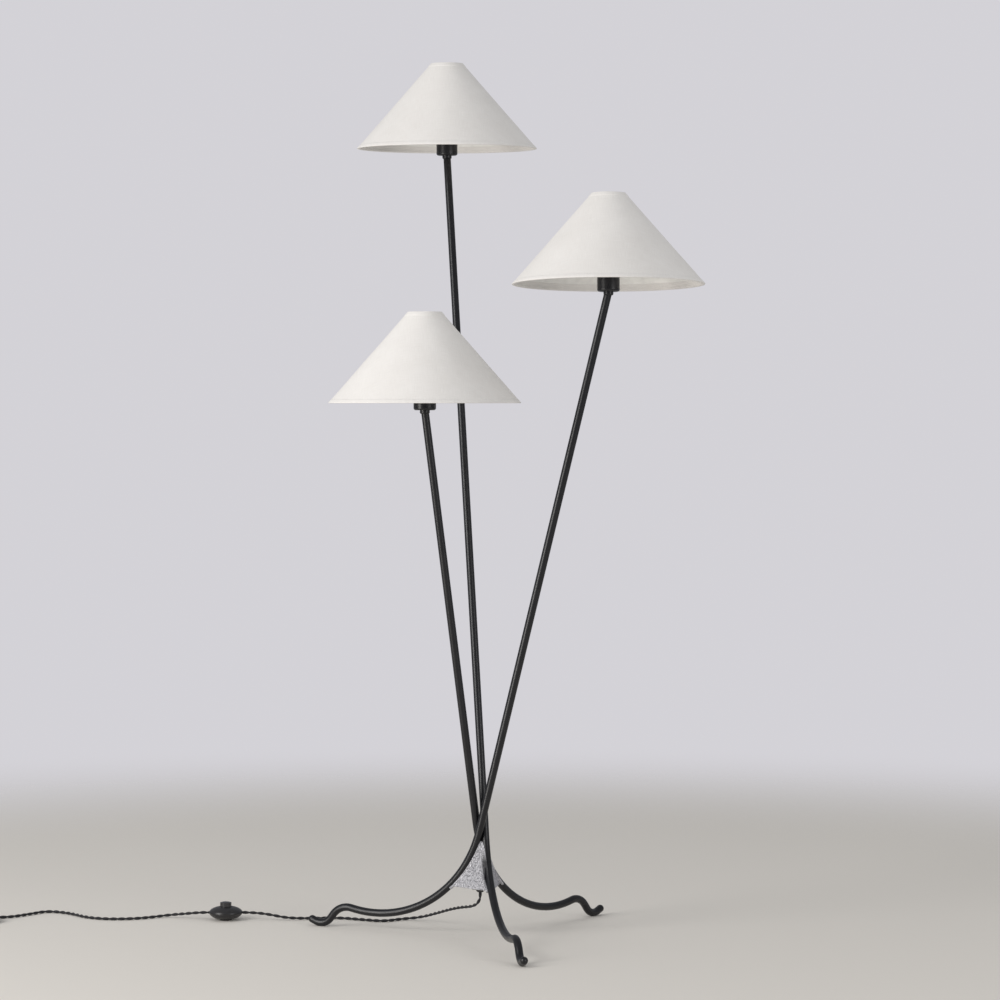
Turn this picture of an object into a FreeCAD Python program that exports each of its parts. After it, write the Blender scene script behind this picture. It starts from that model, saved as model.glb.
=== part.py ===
import FreeCAD, Part
import math
import os
import re
import Sketcher
from FreeCAD import Placement, Rotation, Vector

# A tree floor lamp. Three slim steel tubes cross near the floor as a twisted tripod and carry three
# linen cone shades at three heights. Each tube sweeps out below the crossing into a leg with a hump
# and an upturned foot. A small pyramid hub of welded plates under the crossing takes the cord, which
# runs over the floor through a foot switch to its plug.
# Millimetres and degrees. The origin is the floor point under the crossing, +Z is up, -Y is the front.

RODS = ("tall", "low", "mid")

DIMENSIONS = {
    # tubes: heading of each leg, lean of its stem, where its seam and its cup sit, tilt of its head
    "tube_outer": 14.0,
    "tube_wall": 2.0,
    "tall_heading": -78.4,
    "tall_lean": 16.5,
    "tall_seam_height": 704.5,
    "tall_cup_height": 1434.0,
    "tall_head_tilt": 1.0,
    "low_heading": 47.4,
    "low_lean": 10.15,
    "low_seam_height": 521.5,
    "low_cup_height": 953.5,
    "low_head_tilt": -0.3,
    "mid_heading": 155.9,
    "mid_lean": 14.5,
    "mid_seam_height": 635.5,
    "mid_cup_height": 1163.0,
    "mid_head_tilt": -2.7,
    "rod_gap": 0.3,
    # legs: one big sweep, a hump, a short drop, a foot bend that curls up
    "sweep_radius": 215.0,
    "sweep_reach": 208.0,
    "sweep_height": 31.5,
    "rise_angle": 13.4,
    "hump_radius": 36.0,
    "drop_angle": 52.0,
    "foot_radius": 25.0,
    "curl_angle": 23.0,
    "tip_length": 9.0,
    "foot_flat": 0.3,
    "cap_spigot_length": 9.0,
    "coupler_length": 34.0,
    "coupler_wall": 1.8,
    "thread_gap": 0.05,
    "seat_gap": 0.3,
    # hub
    "hub_floor_height": 90.0,
    "hub_top_height": 174.0,
    "plate_thickness": 2.0,
    "weld_gap": 0.2,
    "cover_thickness": 2.0,
    "cover_gap": 0.5,
    "lug_width": 12.0,
    "lug_reach": 13.0,
    "lug_thickness": 3.0,
    "cover_screw_size": 4.0,
    "cover_screw_length": 9.0,
    "cover_screw_head": 7.0,
    "cover_screw_head_height": 2.4,
    "gland_outer": 17.5,
    "gland_lip_height": 9.0,
    "gland_lip_end": 11.0,
    "gland_thread_size": 10.0,
    "gland_thread_length": 7.0,
    "gland_nut_flats": 17.0,
    "gland_nut_height": 4.0,
    "block_outer": 26.0,
    "block_height": 9.0,
    "lead_exit_height": 120.0,
    "lead_outer": 3.6,
    "lead_hole": 4.6,
    "lead_bend": 5.0,
    "lead_soft_bend": 40.0,
    # sockets
    "ferrule_outer": 17.6,
    "ferrule_height": 6.5,
    "ferrule_round": 2.6,
    "tube_set_back": 4.6,
    "nipple_outer": 10.0,
    "nipple_bore": 7.0,
    "nipple_drop": 2.1,
    "nipple_top": 12.0,
    "locknut_flats": 16.0,
    "locknut_height": 3.0,
    "cup_outer": 40.0,
    "cup_height": 42.0,
    "cup_wall": 1.2,
    "cup_round": 4.0,
    "holder_outer": 33.0,
    "skirt_outer": 36.4,
    "skirt_length": 18.0,
    "holder_floor": 31.0,
    "shell_bore": 27.2,
    "shell_wall": 0.4,
    "shell_top_gap": 3.0,
    "contact_outer": 9.2,
    "contact_height": 1.4,
    "bulb_outer": 48.0,
    "bulb_centre_height": 99.0,
    "bulb_neck": 24.4,
    "bulb_wall": 0.8,
    "bulb_shoulder_angle": 20.0,
    "cap_outer": 26.0,
    "cap_wall": 0.5,
    "cap_tip": 8.0,
    # shades
    "ring_thickness": 2.0,
    "ring_outer": 52.0,
    "ring_nut_outer": 46.0,
    "ring_nut_height": 8.0,
    "arm_wire": 2.5,
    "arm_reach": 33.0,
    "arm_low_rise": 31.0,
    "arm_high_drop": 24.0,
    "arm_bend": 18.0,
    "shade_base": 342.0,
    "shade_top": 60.0,
    "shade_height": 161.0,
    "shade_lift": 13.0,
    "shade_wall": 1.3,
    "rim_wire_size": 3.0,
    "rim_wire_lift": 2.2,
    "top_wire_drop": 2.6,
    # cord and plug
    "cord_outer": 5.5,
    "cord_floor": 3.0,
    "coil_first_radius": 41.0,
    "coil_turn_pitch": 6.1,
    "coil_layer_pitch": 6.1,
    "plug_width": 25.0,
    "plug_thickness": 17.6,
    "plug_length": 27.0,
    "plug_round": 4.0,
    "boot_length": 18.0,
    "boot_outer": 11.0,
    "boot_end": 8.0,
    "blade_width": 6.35,
    "blade_thickness": 1.5,
    "blade_length": 16.0,
    "blade_root": 12.0,
    "blade_spacing": 12.7,
    # foot switch
    "switch_x": -478.0,
    "switch_y": 196.0,
    "switch_outer": 62.0,
    "switch_seam_height": 14.0,
    "switch_band": 1.0,
    "switch_belly_radius": 43.7,
    "switch_crown_radius": 46.6,
    "switch_crown_height": 25.5,
    "switch_wall": 2.2,
    "pad_outer": 22.0,
    "pad_height": 1.5,
    "button_outer": 21.4,
    "button_top_height": 34.5,
    "button_wall": 1.8,
    "button_dome_rise": 1.8,
    "button_flange": 27.0,
    "button_flange_height": 2.0,
    "button_travel": 3.5,
    "button_gap": 0.3,
    "plunger_size": 5.0,
    "bridge_outer": 10.0,
    "bridge_height": 0.8,
    "block_seat": 32.0,
    "block_top_height": 11.0,
    "cheek_height": 15.8,
    "cheek_thickness": 3.6,
    "cheek_width": 9.0,
    "cord_hole_gap": 0.3,
    "terminal_width": 4.0,
    "terminal_thickness": 0.6,
    "tab_height": 0.6,
    "rib_outer": 47.0,
    "rib_height": 10.5,
    "post_reach": 20.0,
    "post_size": 6.0,
    "switch_screw_size": 3.0,
    "switch_screw_head": 5.8,
    "switch_screw_head_height": 2.3,
    "switch_screw_length": 10.0,
    "spring_wire": 1.0,
    "spring_mean": 14.4,
    "ring_gap": 0.4,
    "neck_clearance": 2.0,
    "rib_floor": 3.0,
    "post_length": 9.0,
    "flange_drop": 1.4,
    "cheek_inset": 0.8,
    "tab_length": 2.5,
    "coil_run_in": 20.0,
    "plug_run": 20.0,
    "plug_run_drift": 3.0,
}
SPRING_TURNS = 6
COIL_TURNS_IN = 3.5
COIL_TURNS_OUT = 3.75
ARMS = 3
SETTLING_ROUNDS = 12
SMALLEST_CUT = 0.01

doc = FreeCAD.newDocument("tree_floor_lamp")
sizes = doc.addObject("Spreadsheet::Sheet", "sizes")
for row, (alias, number) in enumerate(DIMENSIONS.items(), 1):
    sizes.set(f"A{row}", alias)
    sizes.set(f"B{row}", str(number))
    sizes.setAlias(f"B{row}", alias)
doc.recompute()

kept = []


def linked(text):
    """A sum of sizes, with each size's name pointing at its cell."""
    return re.sub(r"[a-z]+(_[a-z]+)+", lambda name: "sizes." + name.group(), text)


def size(text):
    """The number that a sum of sizes comes to now."""
    return float(sizes.evalExpression(text))


def tie(thing, path, text):
    thing.setExpression(path, linked(text))


def new_body(label):
    body = doc.addObject("PartDesign::Body", label)
    body.Label = label
    return body


def new_sketch(body, plane, place=None):
    """A sketch on one of the body's own origin planes, moved off it by place."""
    sketch = body.newObject("Sketcher::SketchObject", body.Name + "_sketch")
    support = next(part for part in body.Origin.OriginFeatures if part.Role == plane)
    sketch.AttachmentSupport = [(support, "")]
    sketch.MapMode = "FlatFace"
    if place:
        sketch.AttachmentOffset = place
    return sketch


def fix_point(sketch, point, across, up):
    """Holds a point of the sketch at two sums of sizes, or on an axis where a sum is plain 0."""
    for kind, axis, text in (("DistanceX", -2, across), ("DistanceY", -1, up)):
        if text == "0":
            sketch.addConstraint(Sketcher.Constraint("PointOnObject", *point, axis))
        else:
            held = sketch.addConstraint(Sketcher.Constraint(kind, *point, size(text)))
            tie(sketch, f"Constraints[{held}]", text)


def arc_between(first, last, radius):
    """A plain arc under half a turn: anticlockwise from first to last for a plus radius."""
    if radius < 0:
        first, last = last, first
    chord = last - first
    left = Vector(-chord.y, chord.x, 0).normalize()
    centre = (first + last) * 0.5 + left * math.sqrt(radius ** 2 - chord.Length ** 2 / 4)
    start = math.atan2(first.y - centre.y, first.x - centre.x)
    end = math.atan2(last.y - centre.y, last.x - centre.x)
    return Part.ArcOfCircle(Part.Circle(centre, Vector(0, 0, 1), abs(radius)), start, end)


def outline(sketch, corners):
    """A closed loop. Each corner is (across, up) as sums of sizes, with a third sum where an arc
    of that radius runs on to the next corner: plus turns left on the way, minus turns right."""
    spots = [Vector(size(corner[0]), size(corner[1]), 0) for corner in corners]
    ends = []
    for i, corner in enumerate(corners):
        here, there = spots[i], spots[(i + 1) % len(spots)]
        if len(corner) == 2:
            edge = sketch.addGeometry(Part.LineSegment(here, there))
            ends.append(((edge, 1), (edge, 2)))
            continue
        radius = size(corner[2])
        edge = sketch.addGeometry(arc_between(here, there, radius))
        ends.append(((edge, 1), (edge, 2)) if radius > 0 else ((edge, 2), (edge, 1)))
    for i, (start, _) in enumerate(ends):
        sketch.addConstraint(Sketcher.Constraint("Coincident", *ends[i - 1][1], *start))
        fix_point(sketch, start, *corners[i][:2])
    for i, corner in enumerate(corners):
        if len(corner) == 3:
            held = sketch.addConstraint(Sketcher.Constraint("Radius", i, abs(size(corner[2]))))
            tie(sketch, f"Constraints[{held}]", f"abs({corner[2]})")


def circle(sketch, radius, across="0", up="0"):
    middle = Vector(size(across), size(up), 0)
    ring = sketch.addGeometry(Part.Circle(middle, Vector(0, 0, 1), size(radius)))
    if across == "0" and up == "0":
        sketch.addConstraint(Sketcher.Constraint("Coincident", ring, 3, -1, 1))
    else:
        fix_point(sketch, (ring, 3), across, up)
    held = sketch.addConstraint(Sketcher.Constraint("Radius", ring, size(radius)))
    tie(sketch, f"Constraints[{held}]", radius)


def rectangle(sketch, left, low, right, high):
    outline(sketch, [(left, low), (right, low), (right, high), (left, high)])


def feature(body, kind, sketch, length=None):
    made = body.newObject("PartDesign::" + kind, f"{body.Name}_{kind.lower()}")
    made.Profile = sketch
    if length:
        tie(made, "Length", length)
    sketch.Visibility = False
    return made


def revolve(body, sketch, kind="Revolution"):
    made = feature(body, kind, sketch)
    made.ReferenceAxis = (sketch, ["V_Axis"])
    made.Angle = 360
    return made


def must_cut(body, made):
    """Stops the build where a cut took nothing away."""
    doc.recompute()
    if made.Shape.Volume > made.BaseFeature.Shape.Volume - SMALLEST_CUT:
        raise RuntimeError(f"{made.Name} cuts nothing from {body.Label}")


def bore(body, place, radius, depth):
    """A round hole that starts at place and runs against place's own Z axis."""
    sketch = new_sketch(body, "XY_Plane", place)
    circle(sketch, radius)
    made = feature(body, "Pocket", sketch, depth)
    must_cut(body, made)
    return made


def turned(label, corners):
    """A round piece: its half section, revolved about its own Z axis."""
    body = new_body(label)
    sketch = new_sketch(body, "XZ_Plane")
    outline(sketch, corners)
    revolve(body, sketch)
    return body


def sleeve(label, outer, bore_size, length, base="0"):
    """A plain tube or pin standing on its own XY plane, or base above it."""
    body = new_body(label)
    sketch = new_sketch(body, "XY_Plane")
    tie(sketch, "AttachmentOffset.Base.z", base)
    circle(sketch, f"({outer}) / 2")
    if bore_size:
        circle(sketch, f"({bore_size}) / 2")
    feature(body, "Pad", sketch, length)
    return body


def hexagon(sketch, flats):
    corner = f"{flats} / sqrt(3)"
    outline(sketch, [(f"{corner} * cos({turn})", f"{corner} * sin({turn})") for turn in range(15, 375, 60)])


def hex_nut(label, flats, hole, height, base):
    body = new_body(label)
    sketch = new_sketch(body, "XY_Plane")
    tie(sketch, "AttachmentOffset.Base.z", base)
    hexagon(sketch, flats)
    circle(sketch, f"({hole}) / 2")
    feature(body, "Pad", sketch, height)
    return body


def keep(piece, place=None, label=None):
    """Puts a finished piece in its place and marks it as one of the lamp's named pieces."""
    if label:
        piece.Label = label
    if place:
        piece.Placement = place
    kept.append(piece)
    return piece


def gather(label, pieces):
    """Like pieces that share one name."""
    group = doc.addObject("Part::Compound", label)
    group.Links = pieces
    return keep(group, label=label)


def solid(label, shape):
    """A piece whose shape is worked out here from the sizes."""
    piece = doc.addObject("Part::Feature", label)
    piece.Shape = shape
    return keep(piece, label=label)


def turn(axis, angle):
    return Placement(Vector(0, 0, 0), Rotation(axis, angle))


def shift(x, y, z):
    return Placement(Vector(x, y, z), Rotation())


AXIS_X, AXIS_Y, AXIS_Z = Vector(1, 0, 0), Vector(0, 1, 0), Vector(0, 0, 1)

# ---------------------------------------------------------------- the run of each tube
# Each tube lies in one upright plane. Its own frame has X along the leg's heading and Z up; the plane
# passes beside the lamp's middle, so the three tubes cross without meeting.


def heading_point(centre, radius, slope):
    """The point of an arc where its way slopes by slope, for an arc that turns upwards."""
    angle = math.radians(slope)
    return Vector(centre.x + radius * math.sin(angle), 0, centre.z - radius * math.cos(angle))


def along(slope, length):
    angle = math.radians(slope)
    return Vector(length * math.cos(angle), 0, length * math.sin(angle))


def leg_run(rod):
    """The corner points of a lower tube's centre line, from its seam down to its tip."""
    lean = size(rod + "_lean")
    rise, drop, curl = size("rise_angle"), size("drop_angle"), size("curl_angle")
    run = {"sweep_centre": Vector(size("sweep_reach"), 0, size("sweep_height + sweep_radius"))}
    run["stem_end"] = heading_point(run["sweep_centre"], size("sweep_radius"), lean - 90)
    climb = size(rod + "_seam_height") - run["stem_end"].z
    run["seam"] = run["stem_end"] + Vector(-climb * math.tan(math.radians(lean)), 0, climb)
    run["sweep_end"] = heading_point(run["sweep_centre"], size("sweep_radius"), rise)
    down = size("hump_radius")
    run["hump_centre"] = heading_point(run["sweep_end"], down, rise)
    run["hump_end"] = heading_point(run["hump_centre"], -down, -drop)
    foot = size("foot_radius")
    foot_centre_height = size("foot_radius + tube_outer / 2 - foot_flat")
    fall = run["hump_end"].z + foot * math.cos(math.radians(drop)) - foot_centre_height
    run["drop_end"] = run["hump_end"] + along(-drop, fall / math.sin(math.radians(drop)))
    run["foot_centre"] = run["drop_end"] + along(90 - drop, foot)
    run["foot_end"] = heading_point(run["foot_centre"], foot, curl)
    run["tip"] = run["foot_end"] + along(curl, size("tip_length"))
    return run


RUNS = {rod: leg_run(rod) for rod in RODS}


def stem_point(rod, height):
    """Where the straight stem's centre line is at a height, in the tube's own frame."""
    foot = RUNS[rod]["stem_end"]
    return Vector(foot.x - (height - foot.z) * math.tan(math.radians(size(rod + "_lean"))), 0, height)


def sweep_point(height):
    """Where the sweep's centre line is at a height, in the tube's own frame."""
    centre, radius = RUNS["tall"]["sweep_centre"], size("sweep_radius")
    return Vector(centre.x - math.sqrt(radius ** 2 - (centre.z - height) ** 2), 0, height)


def rod_point(rod, height):
    return stem_point(rod, height) if height > RUNS[rod]["stem_end"].z else sweep_point(height)


def rod_frame(rod, offset):
    return turn(AXIS_Z, size(rod + "_heading")) * shift(0, offset, 0)


def middle_line(rod, offset):
    """The crossing stretch of a tube's centre line, as an edge pair."""
    run, top = RUNS[rod], stem_point(rod, 2 * RUNS[rod]["stem_end"].z)
    low = sweep_point(size("hub_floor_height"))
    half = heading_point(run["sweep_centre"], size("sweep_radius"), (size(rod + "_lean") - 90) * 3 / 4)
    line = Part.Wire([Part.LineSegment(top, run["stem_end"]).toShape(),
                      Part.Arc(run["stem_end"], half, low).toShape()])
    line.Placement = rod_frame(rod, offset)
    return line


def settle_offsets():
    """Pushes the three tubes together until each pair lies one tube and a weld gap apart."""
    offsets = dict.fromkeys(RODS, size("tube_outer / 2"))
    reach = size("tube_outer + rod_gap")
    for _ in range(SETTLING_ROUNDS):
        lines = {rod: middle_line(rod, offsets[rod]) for rod in RODS}
        short = {}
        for rod in RODS:
            pair = [other for other in RODS if other != rod]
            short[rod] = reach - lines[pair[0]].distToShape(lines[pair[1]])[0]
        for rod in RODS:
            offsets[rod] += (sum(short.values()) - 2 * short[rod]) / 2
    return offsets


OFFSETS = settle_offsets()
FRAMES = {rod: rod_frame(rod, OFFSETS[rod]) for rod in RODS}
print("tube offsets", {rod: round(OFFSETS[rod], 2) for rod in RODS})


def rod_world(rod, height):
    return FRAMES[rod].multVec(rod_point(rod, height))


# the cord gland sits in the middle of the hub's three lower corners
GLAND = sum((rod_world(rod, size("hub_floor_height")) for rod in RODS), Vector()) * (1 / 3)


# ---------------------------------------------------------------- lower tubes
# Bent steel tube: straight stem, big sweep, hump, drop, foot bend and a short upturned tip. A small
# flat is worn under the foot bend, and a hole inside the hub lets the lamp lead in.


def leg_path(body, rod):
    run, sketch = RUNS[rod], new_sketch(body, "XZ_Plane")

    def flat(point):
        return Vector(point.x, point.z, 0)

    def arc(centre, radius, start_slope, end_slope):
        """An arc of the path, drawn anticlockwise, between two slopes of its underside."""
        ring = Part.Circle(flat(centre), AXIS_Z, size(radius))
        turns = [math.radians(slope - 90) for slope in (start_slope, end_slope)]
        return sketch.addGeometry(Part.ArcOfCircle(ring, *turns))

    lean, rise = size(rod + "_lean"), size("rise_angle")
    drop, curl = size("drop_angle"), size("curl_angle")
    stem = sketch.addGeometry(Part.LineSegment(flat(run["seam"]), flat(run["stem_end"])))
    sweep = arc(run["sweep_centre"], "sweep_radius", lean - 90, rise)
    hump = arc(run["hump_centre"], "hump_radius", 180 - drop, 180 + rise)
    fall = sketch.addGeometry(Part.LineSegment(flat(run["hump_end"]), flat(run["drop_end"])))
    foot = arc(run["foot_centre"], "foot_radius", -drop, curl)
    tip = sketch.addGeometry(Part.LineSegment(flat(run["foot_end"]), flat(run["tip"])))
    joints = [(stem, 2, sweep, 1), (sweep, 2, hump, 2), (hump, 1, fall, 1), (fall, 2, foot, 1),
              (foot, 2, tip, 1)]
    for joint in joints:
        sketch.addConstraint(Sketcher.Constraint("Tangent", *joint))
    fix_point(sketch, (sweep, 3), "sweep_reach", "sweep_height + sweep_radius")
    tied = [("Radius", (sweep,), "sweep_radius"), ("Radius", (hump,), "hump_radius"),
            ("Radius", (foot,), "foot_radius"), ("Distance", (tip,), "tip_length"),
            ("DistanceY", (stem, 1), rod + "_seam_height"),
            ("DistanceX", (sweep, 3, sweep, 2), "sweep_radius * sin(rise_angle)"),
            ("DistanceX", (sweep, 1, sweep, 3), f"sweep_radius * cos({rod}_lean)"),
            ("DistanceX", (hump, 3, hump, 1), "hump_radius * sin(drop_angle)"),
            ("DistanceX", (foot, 3, foot, 2), "foot_radius * sin(curl_angle)"),
            ("DistanceY", (foot, 3), "foot_radius + tube_outer / 2 - foot_flat")]
    for kind, where, text in tied:
        held = sketch.addConstraint(Sketcher.Constraint(kind, *where, size(text)))
        tie(sketch, f"Constraints[{held}]", text)
    return sketch


def lower_tube(rod):
    body = new_body(rod + "_lower_tube")
    path = leg_path(body, rod)
    section = body.newObject("Sketcher::SketchObject", body.Name + "_section")
    section.AttachmentSupport = [(path, "Edge1")]
    section.MapMode = "NormalToEdge"
    section.MapPathParameter = 0
    circle(section, "tube_outer / 2")
    circle(section, "tube_outer / 2 - tube_wall")
    pipe = body.newObject("PartDesign::AdditivePipe", body.Name + "_pipe")
    pipe.Profile = section
    pipe.Spine = (path, [f"Edge{number}" for number in range(1, 7)])
    doc.recompute()
    ground = new_sketch(body, "XY_Plane")
    rectangle(ground, "sweep_reach", "-tube_outer", "sweep_reach + sweep_radius", "tube_outer")
    must_cut(body, feature(body, "Pocket", ground, "tube_outer"))
    bore(body, lead_hole_frame(rod), "lead_hole / 2", "tube_outer / 2")
    return keep(body, FRAMES[rod])


def lead_hole_frame(rod):
    """On the tube's outside, with Z out through the side that faces the hub's middle."""
    height = size("lead_exit_height")
    middle, centre = rod_point(rod, height), RUNS[rod]["sweep_centre"]
    outward = (middle - centre).normalize()
    tangent = AXIS_Y.cross(outward)
    aim = FRAMES[rod].inverse().multVec(Vector(GLAND.x, GLAND.y, height)) - middle
    aim = (aim - tangent * aim.dot(tangent)).normalize()
    return Placement(middle + aim * size("tube_outer / 2"), Rotation(AXIS_Z, aim))


for rod in RODS:
    lower_tube(rod)

# ---------------------------------------------------------------- seams, upper tubes and foot ends
# The straight upper tube screws onto a threaded coupler in the lower tube's end. A domed cap closes
# each foot.


def stem_frame(rod, height):
    """On the stem's centre line at a height, with Z up along the stem."""
    return FRAMES[rod] * Placement(stem_point(rod, height), Rotation(AXIS_Y, -size(rod + "_lean")))


COUPLER = "tube_outer - 2 * tube_wall - 2 * thread_gap"
couplers, caps = [], []
for rod in RODS:
    lean = f"cos({rod}_lean)"
    upper = sleeve(rod + "_upper_tube", "tube_outer", "tube_outer - 2 * tube_wall",
                   f"({rod}_cup_height - {rod}_seam_height) / {lean} - tube_set_back")
    keep(upper, stem_frame(rod, size(rod + "_seam_height")))
    coupler = sleeve(rod + "_coupler", COUPLER, f"{COUPLER} - 2 * coupler_wall", "coupler_length",
                     "-coupler_length / 2")
    coupler.Placement = stem_frame(rod, size(rod + "_seam_height"))
    couplers.append(coupler)
    cap = turned(rod + "_foot_cap", [
        ("0", "-cap_spigot_length"), (f"({COUPLER}) / 2", "-cap_spigot_length"), (f"({COUPLER}) / 2", "0"),
        ("tube_outer / 2", "0", "tube_outer / 2"), ("0", "tube_outer / 2")])
    cap.Placement = FRAMES[rod] * Placement(RUNS[rod]["tip"], Rotation(AXIS_Y, 90 - size("curl_angle")))
    caps.append(cap)
gather("tube_couplers", couplers)
gather("foot_caps", caps)

# ---------------------------------------------------------------- hub
# Three flat steel plates welded between neighbouring legs make a pyramid under the crossing. A flat
# cover closes it from below, screwed to three lugs, and holds the cord gland.

SIDES = {
    "hub_plate_left": ("mid", "tall"),
    "hub_plate_right": ("tall", "low"),
    "hub_plate_back": ("low", "mid"),
}


def swept(wire, radius):
    """A round bar along a wire, which may bend but has no corners."""
    edge = wire.Edges[0]
    start = wire.OrderedVertexes[0].Point
    way = edge.tangentAt(edge.FirstParameter if edge.Orientation == "Forward" else edge.LastParameter)
    section = Part.Wire(Part.Circle(start, way, radius).toShape())
    return wire.makePipeShell([section], True, False)


def rod_space(rod, radius):
    """The room that a tube takes up around the crossing."""
    return swept(middle_line(rod, OFFSETS[rod]), radius)


def hub_plane(side):
    """A plate's corner points, and its unit normal away from the lamp's middle."""
    low = [rod_world(rod, size("hub_floor_height")) for rod in SIDES[side]]
    high = [rod_world(rod, size("hub_top_height")) for rod in SIDES[side]]
    normal = (low[1] - low[0]).cross((high[0] + high[1]) * 0.5 - low[0]).normalize()
    if normal.dot(low[0] - GLAND) < 0:
        normal = -normal
    high = [point - normal * normal.dot(point - low[0]) for point in high]
    return [low[0], low[1], high[1], high[0]], normal


def slab(corners, way):
    return Part.Face(Part.makePolygon(corners + corners[:1])).extrude(way)


def flat_corner(first, second, height, inset):
    """Where two plates' inner sides, moved in by inset, meet at a height."""
    (points, normal), (others, other) = hub_plane(first), hub_plane(second)
    first_side = normal.dot(points[0]) - inset - normal.z * height
    second_side = other.dot(others[0]) - inset - other.z * height
    cross = normal.x * other.y - normal.y * other.x
    return Vector((first_side * other.y - second_side * normal.y) / cross,
                  (second_side * normal.x - first_side * other.x) / cross, height)


tube_room = {rod: rod_space(rod, size("tube_outer / 2 + weld_gap")) for rod in RODS}
wide_room = {rod: rod_space(rod, size("tube_outer / 2 + cover_gap")) for rod in RODS}
under_lugs = size("hub_floor_height + cover_thickness")
lug_spots, lugs, screws = [], [], []
THROUGH = size("hub_floor_height")  # longer than any plate is thick
below_hub = Part.makeBox(4 * THROUGH, 4 * THROUGH, THROUGH, Vector(-2 * THROUGH, -2 * THROUGH, 0))
for side in SIDES:
    corners, normal = hub_plane(side)
    half = normal * size("plate_thickness / 2")
    plate = slab([corner - half for corner in corners], half * 2)
    plate = plate.cut(Part.makeCompound(list(tube_room.values()) + [below_hub]))
    solid(side, max(plate.Solids, key=lambda part: part.Volume))
    # a lug stands square to the plate's foot, just above the cover
    foot = (corners[0] + corners[1]) * 0.5
    inward = Vector(-normal.x, -normal.y, 0).normalize()
    across = Vector(-inward.y, inward.x, 0) * size("lug_width / 2")
    slope = size("cover_thickness") * abs(normal.z) / math.hypot(normal.x, normal.y)
    foot = Vector(foot.x, foot.y, under_lugs) + inward * slope
    wall = inward * size("plate_thickness / 2")
    reach = inward * size("lug_reach")
    lug = slab([foot - across, foot + across, foot + across + reach, foot - across + reach],
               AXIS_Z * size("lug_thickness"))
    lug = lug.cut(slab([corner - half for corner in corners], normal * size("lug_reach")))
    spot = foot + wall + inward * size("lug_reach - lug_width / 2")
    hole = Part.makeCylinder(size("cover_screw_size / 2 + thread_gap"), THROUGH, spot - AXIS_Z * THROUGH / 2)
    lugs.append(lug.cut(hole))
    lug_spots.append(spot)

inset = size("plate_thickness / 2 + cover_gap")
names = list(SIDES)
cover = slab([flat_corner(names[i - 1], names[i], under_lugs, inset) - AXIS_Z * size("cover_thickness")
              for i in range(3)], AXIS_Z * size("cover_thickness"))
cover = cover.cut(Part.makeCompound(list(wide_room.values())))
for spot in lug_spots:
    hole = Part.makeCylinder(size("cover_screw_size / 2 + seat_gap"), THROUGH, spot - AXIS_Z * THROUGH / 2)
    cover = cover.cut(hole)
hole = Part.makeCylinder(size("gland_thread_size / 2 + thread_gap"), 2 * THROUGH, GLAND - AXIS_Z * THROUGH)
cover = cover.cut(hole)
solid("hub_base_cover", cover)
lug_group = [doc.addObject("Part::Feature", f"lug_{i}") for i in range(3)]
for piece, lug in zip(lug_group, lugs):
    piece.Shape = lug
gather("cover_lugs", lug_group)
for i, spot in enumerate(lug_spots):
    screw = turned(f"cover_screw_{i}", [
        ("0", "-cover_screw_head_height"), ("cover_screw_head / 2", "-cover_screw_head_height"),
        ("cover_screw_head / 2", "0"), ("cover_screw_size / 2", "0"),
        ("cover_screw_size / 2", "cover_screw_length"), ("0", "cover_screw_length")])
    screw.Placement = shift(spot.x, spot.y, size("hub_floor_height"))
    screws.append(screw)
gather("cover_screws", screws)

# ---------------------------------------------------------------- cord gland and terminal block
# The gland's flange bears on the cover from below and a nut holds it from above. The terminal block
# rests on it and joins the supply cord to the three lamp leads.

AT_GLAND = shift(GLAND.x, GLAND.y, size("hub_floor_height"))
CORD_BORE = "cord_outer / 2 + seat_gap"
gland = turned("cord_gland", [
    (CORD_BORE, "-gland_lip_height"), ("gland_lip_end / 2", "-gland_lip_height"),
    ("gland_outer / 2", "-gland_lip_height / 2"), ("gland_outer / 2", "0"),
    ("gland_thread_size / 2", "0"), ("gland_thread_size / 2", "gland_thread_length"),
    (CORD_BORE, "gland_thread_length")])
keep(gland, AT_GLAND)
keep(hex_nut("gland_nut", "gland_nut_flats", "gland_thread_size + 2 * thread_gap", "gland_nut_height",
             "cover_thickness"), AT_GLAND)
keep(sleeve("terminal_block", "block_outer", None, "block_height", "gland_thread_length + seat_gap"),
     AT_GLAND)

# ---------------------------------------------------------------- heads
# Every stem ends in a cast ferrule that turns the leaning tube upright. A threaded nipple holds cup
# and lampholder on it, and a ring nut clamps the shade's wire fitter on the cup's rim.


def head_frame(rod):
    """At the middle of the cup's underside, with Z up the head and X over the leaning tube."""
    up = Rotation(AXIS_X, size(rod + "_head_tilt")).multVec(AXIS_Z)
    down = FRAMES[rod].Rotation.multVec(along(size(rod + "_lean") - 90, 1))
    level = (down - up * down.dot(up)).normalize()
    spot = rod_world(rod, size(rod + "_cup_height"))
    bend = math.degrees(math.acos(-down.dot(up)))
    return Placement(spot, Rotation(level, up.cross(level), up, "ZXY")), bend


def in_plane(x, z):
    return Vector(x, 0, z)


FITTER_RING_BORE = "skirt_outer / 2 + ring_gap"
HOLDER_SEAT = "cup_wall + locknut_height + seat_gap"
SKIRT_TOP = "cup_height + skirt_length"
SHELL_OUTER = "shell_bore / 2 + shell_wall"
CAP_FLOOR = "holder_floor + contact_height + seat_gap"
RING_TOP = "cup_height + ring_thickness"
SHADE_SLOPE = "(shade_base - shade_top) / 2 / shade_height"
SHADE_TOP = "shade_lift + shade_height"
WIRE_SET_IN = f"sqrt(1 + ({SHADE_SLOPE}) ^ 2)"


def shade_inside(drop):
    """How far out the shade's inner face is, drop below its top edge."""
    return f"shade_top / 2 - shade_wall + ({SHADE_SLOPE}) * ({drop})"


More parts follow.
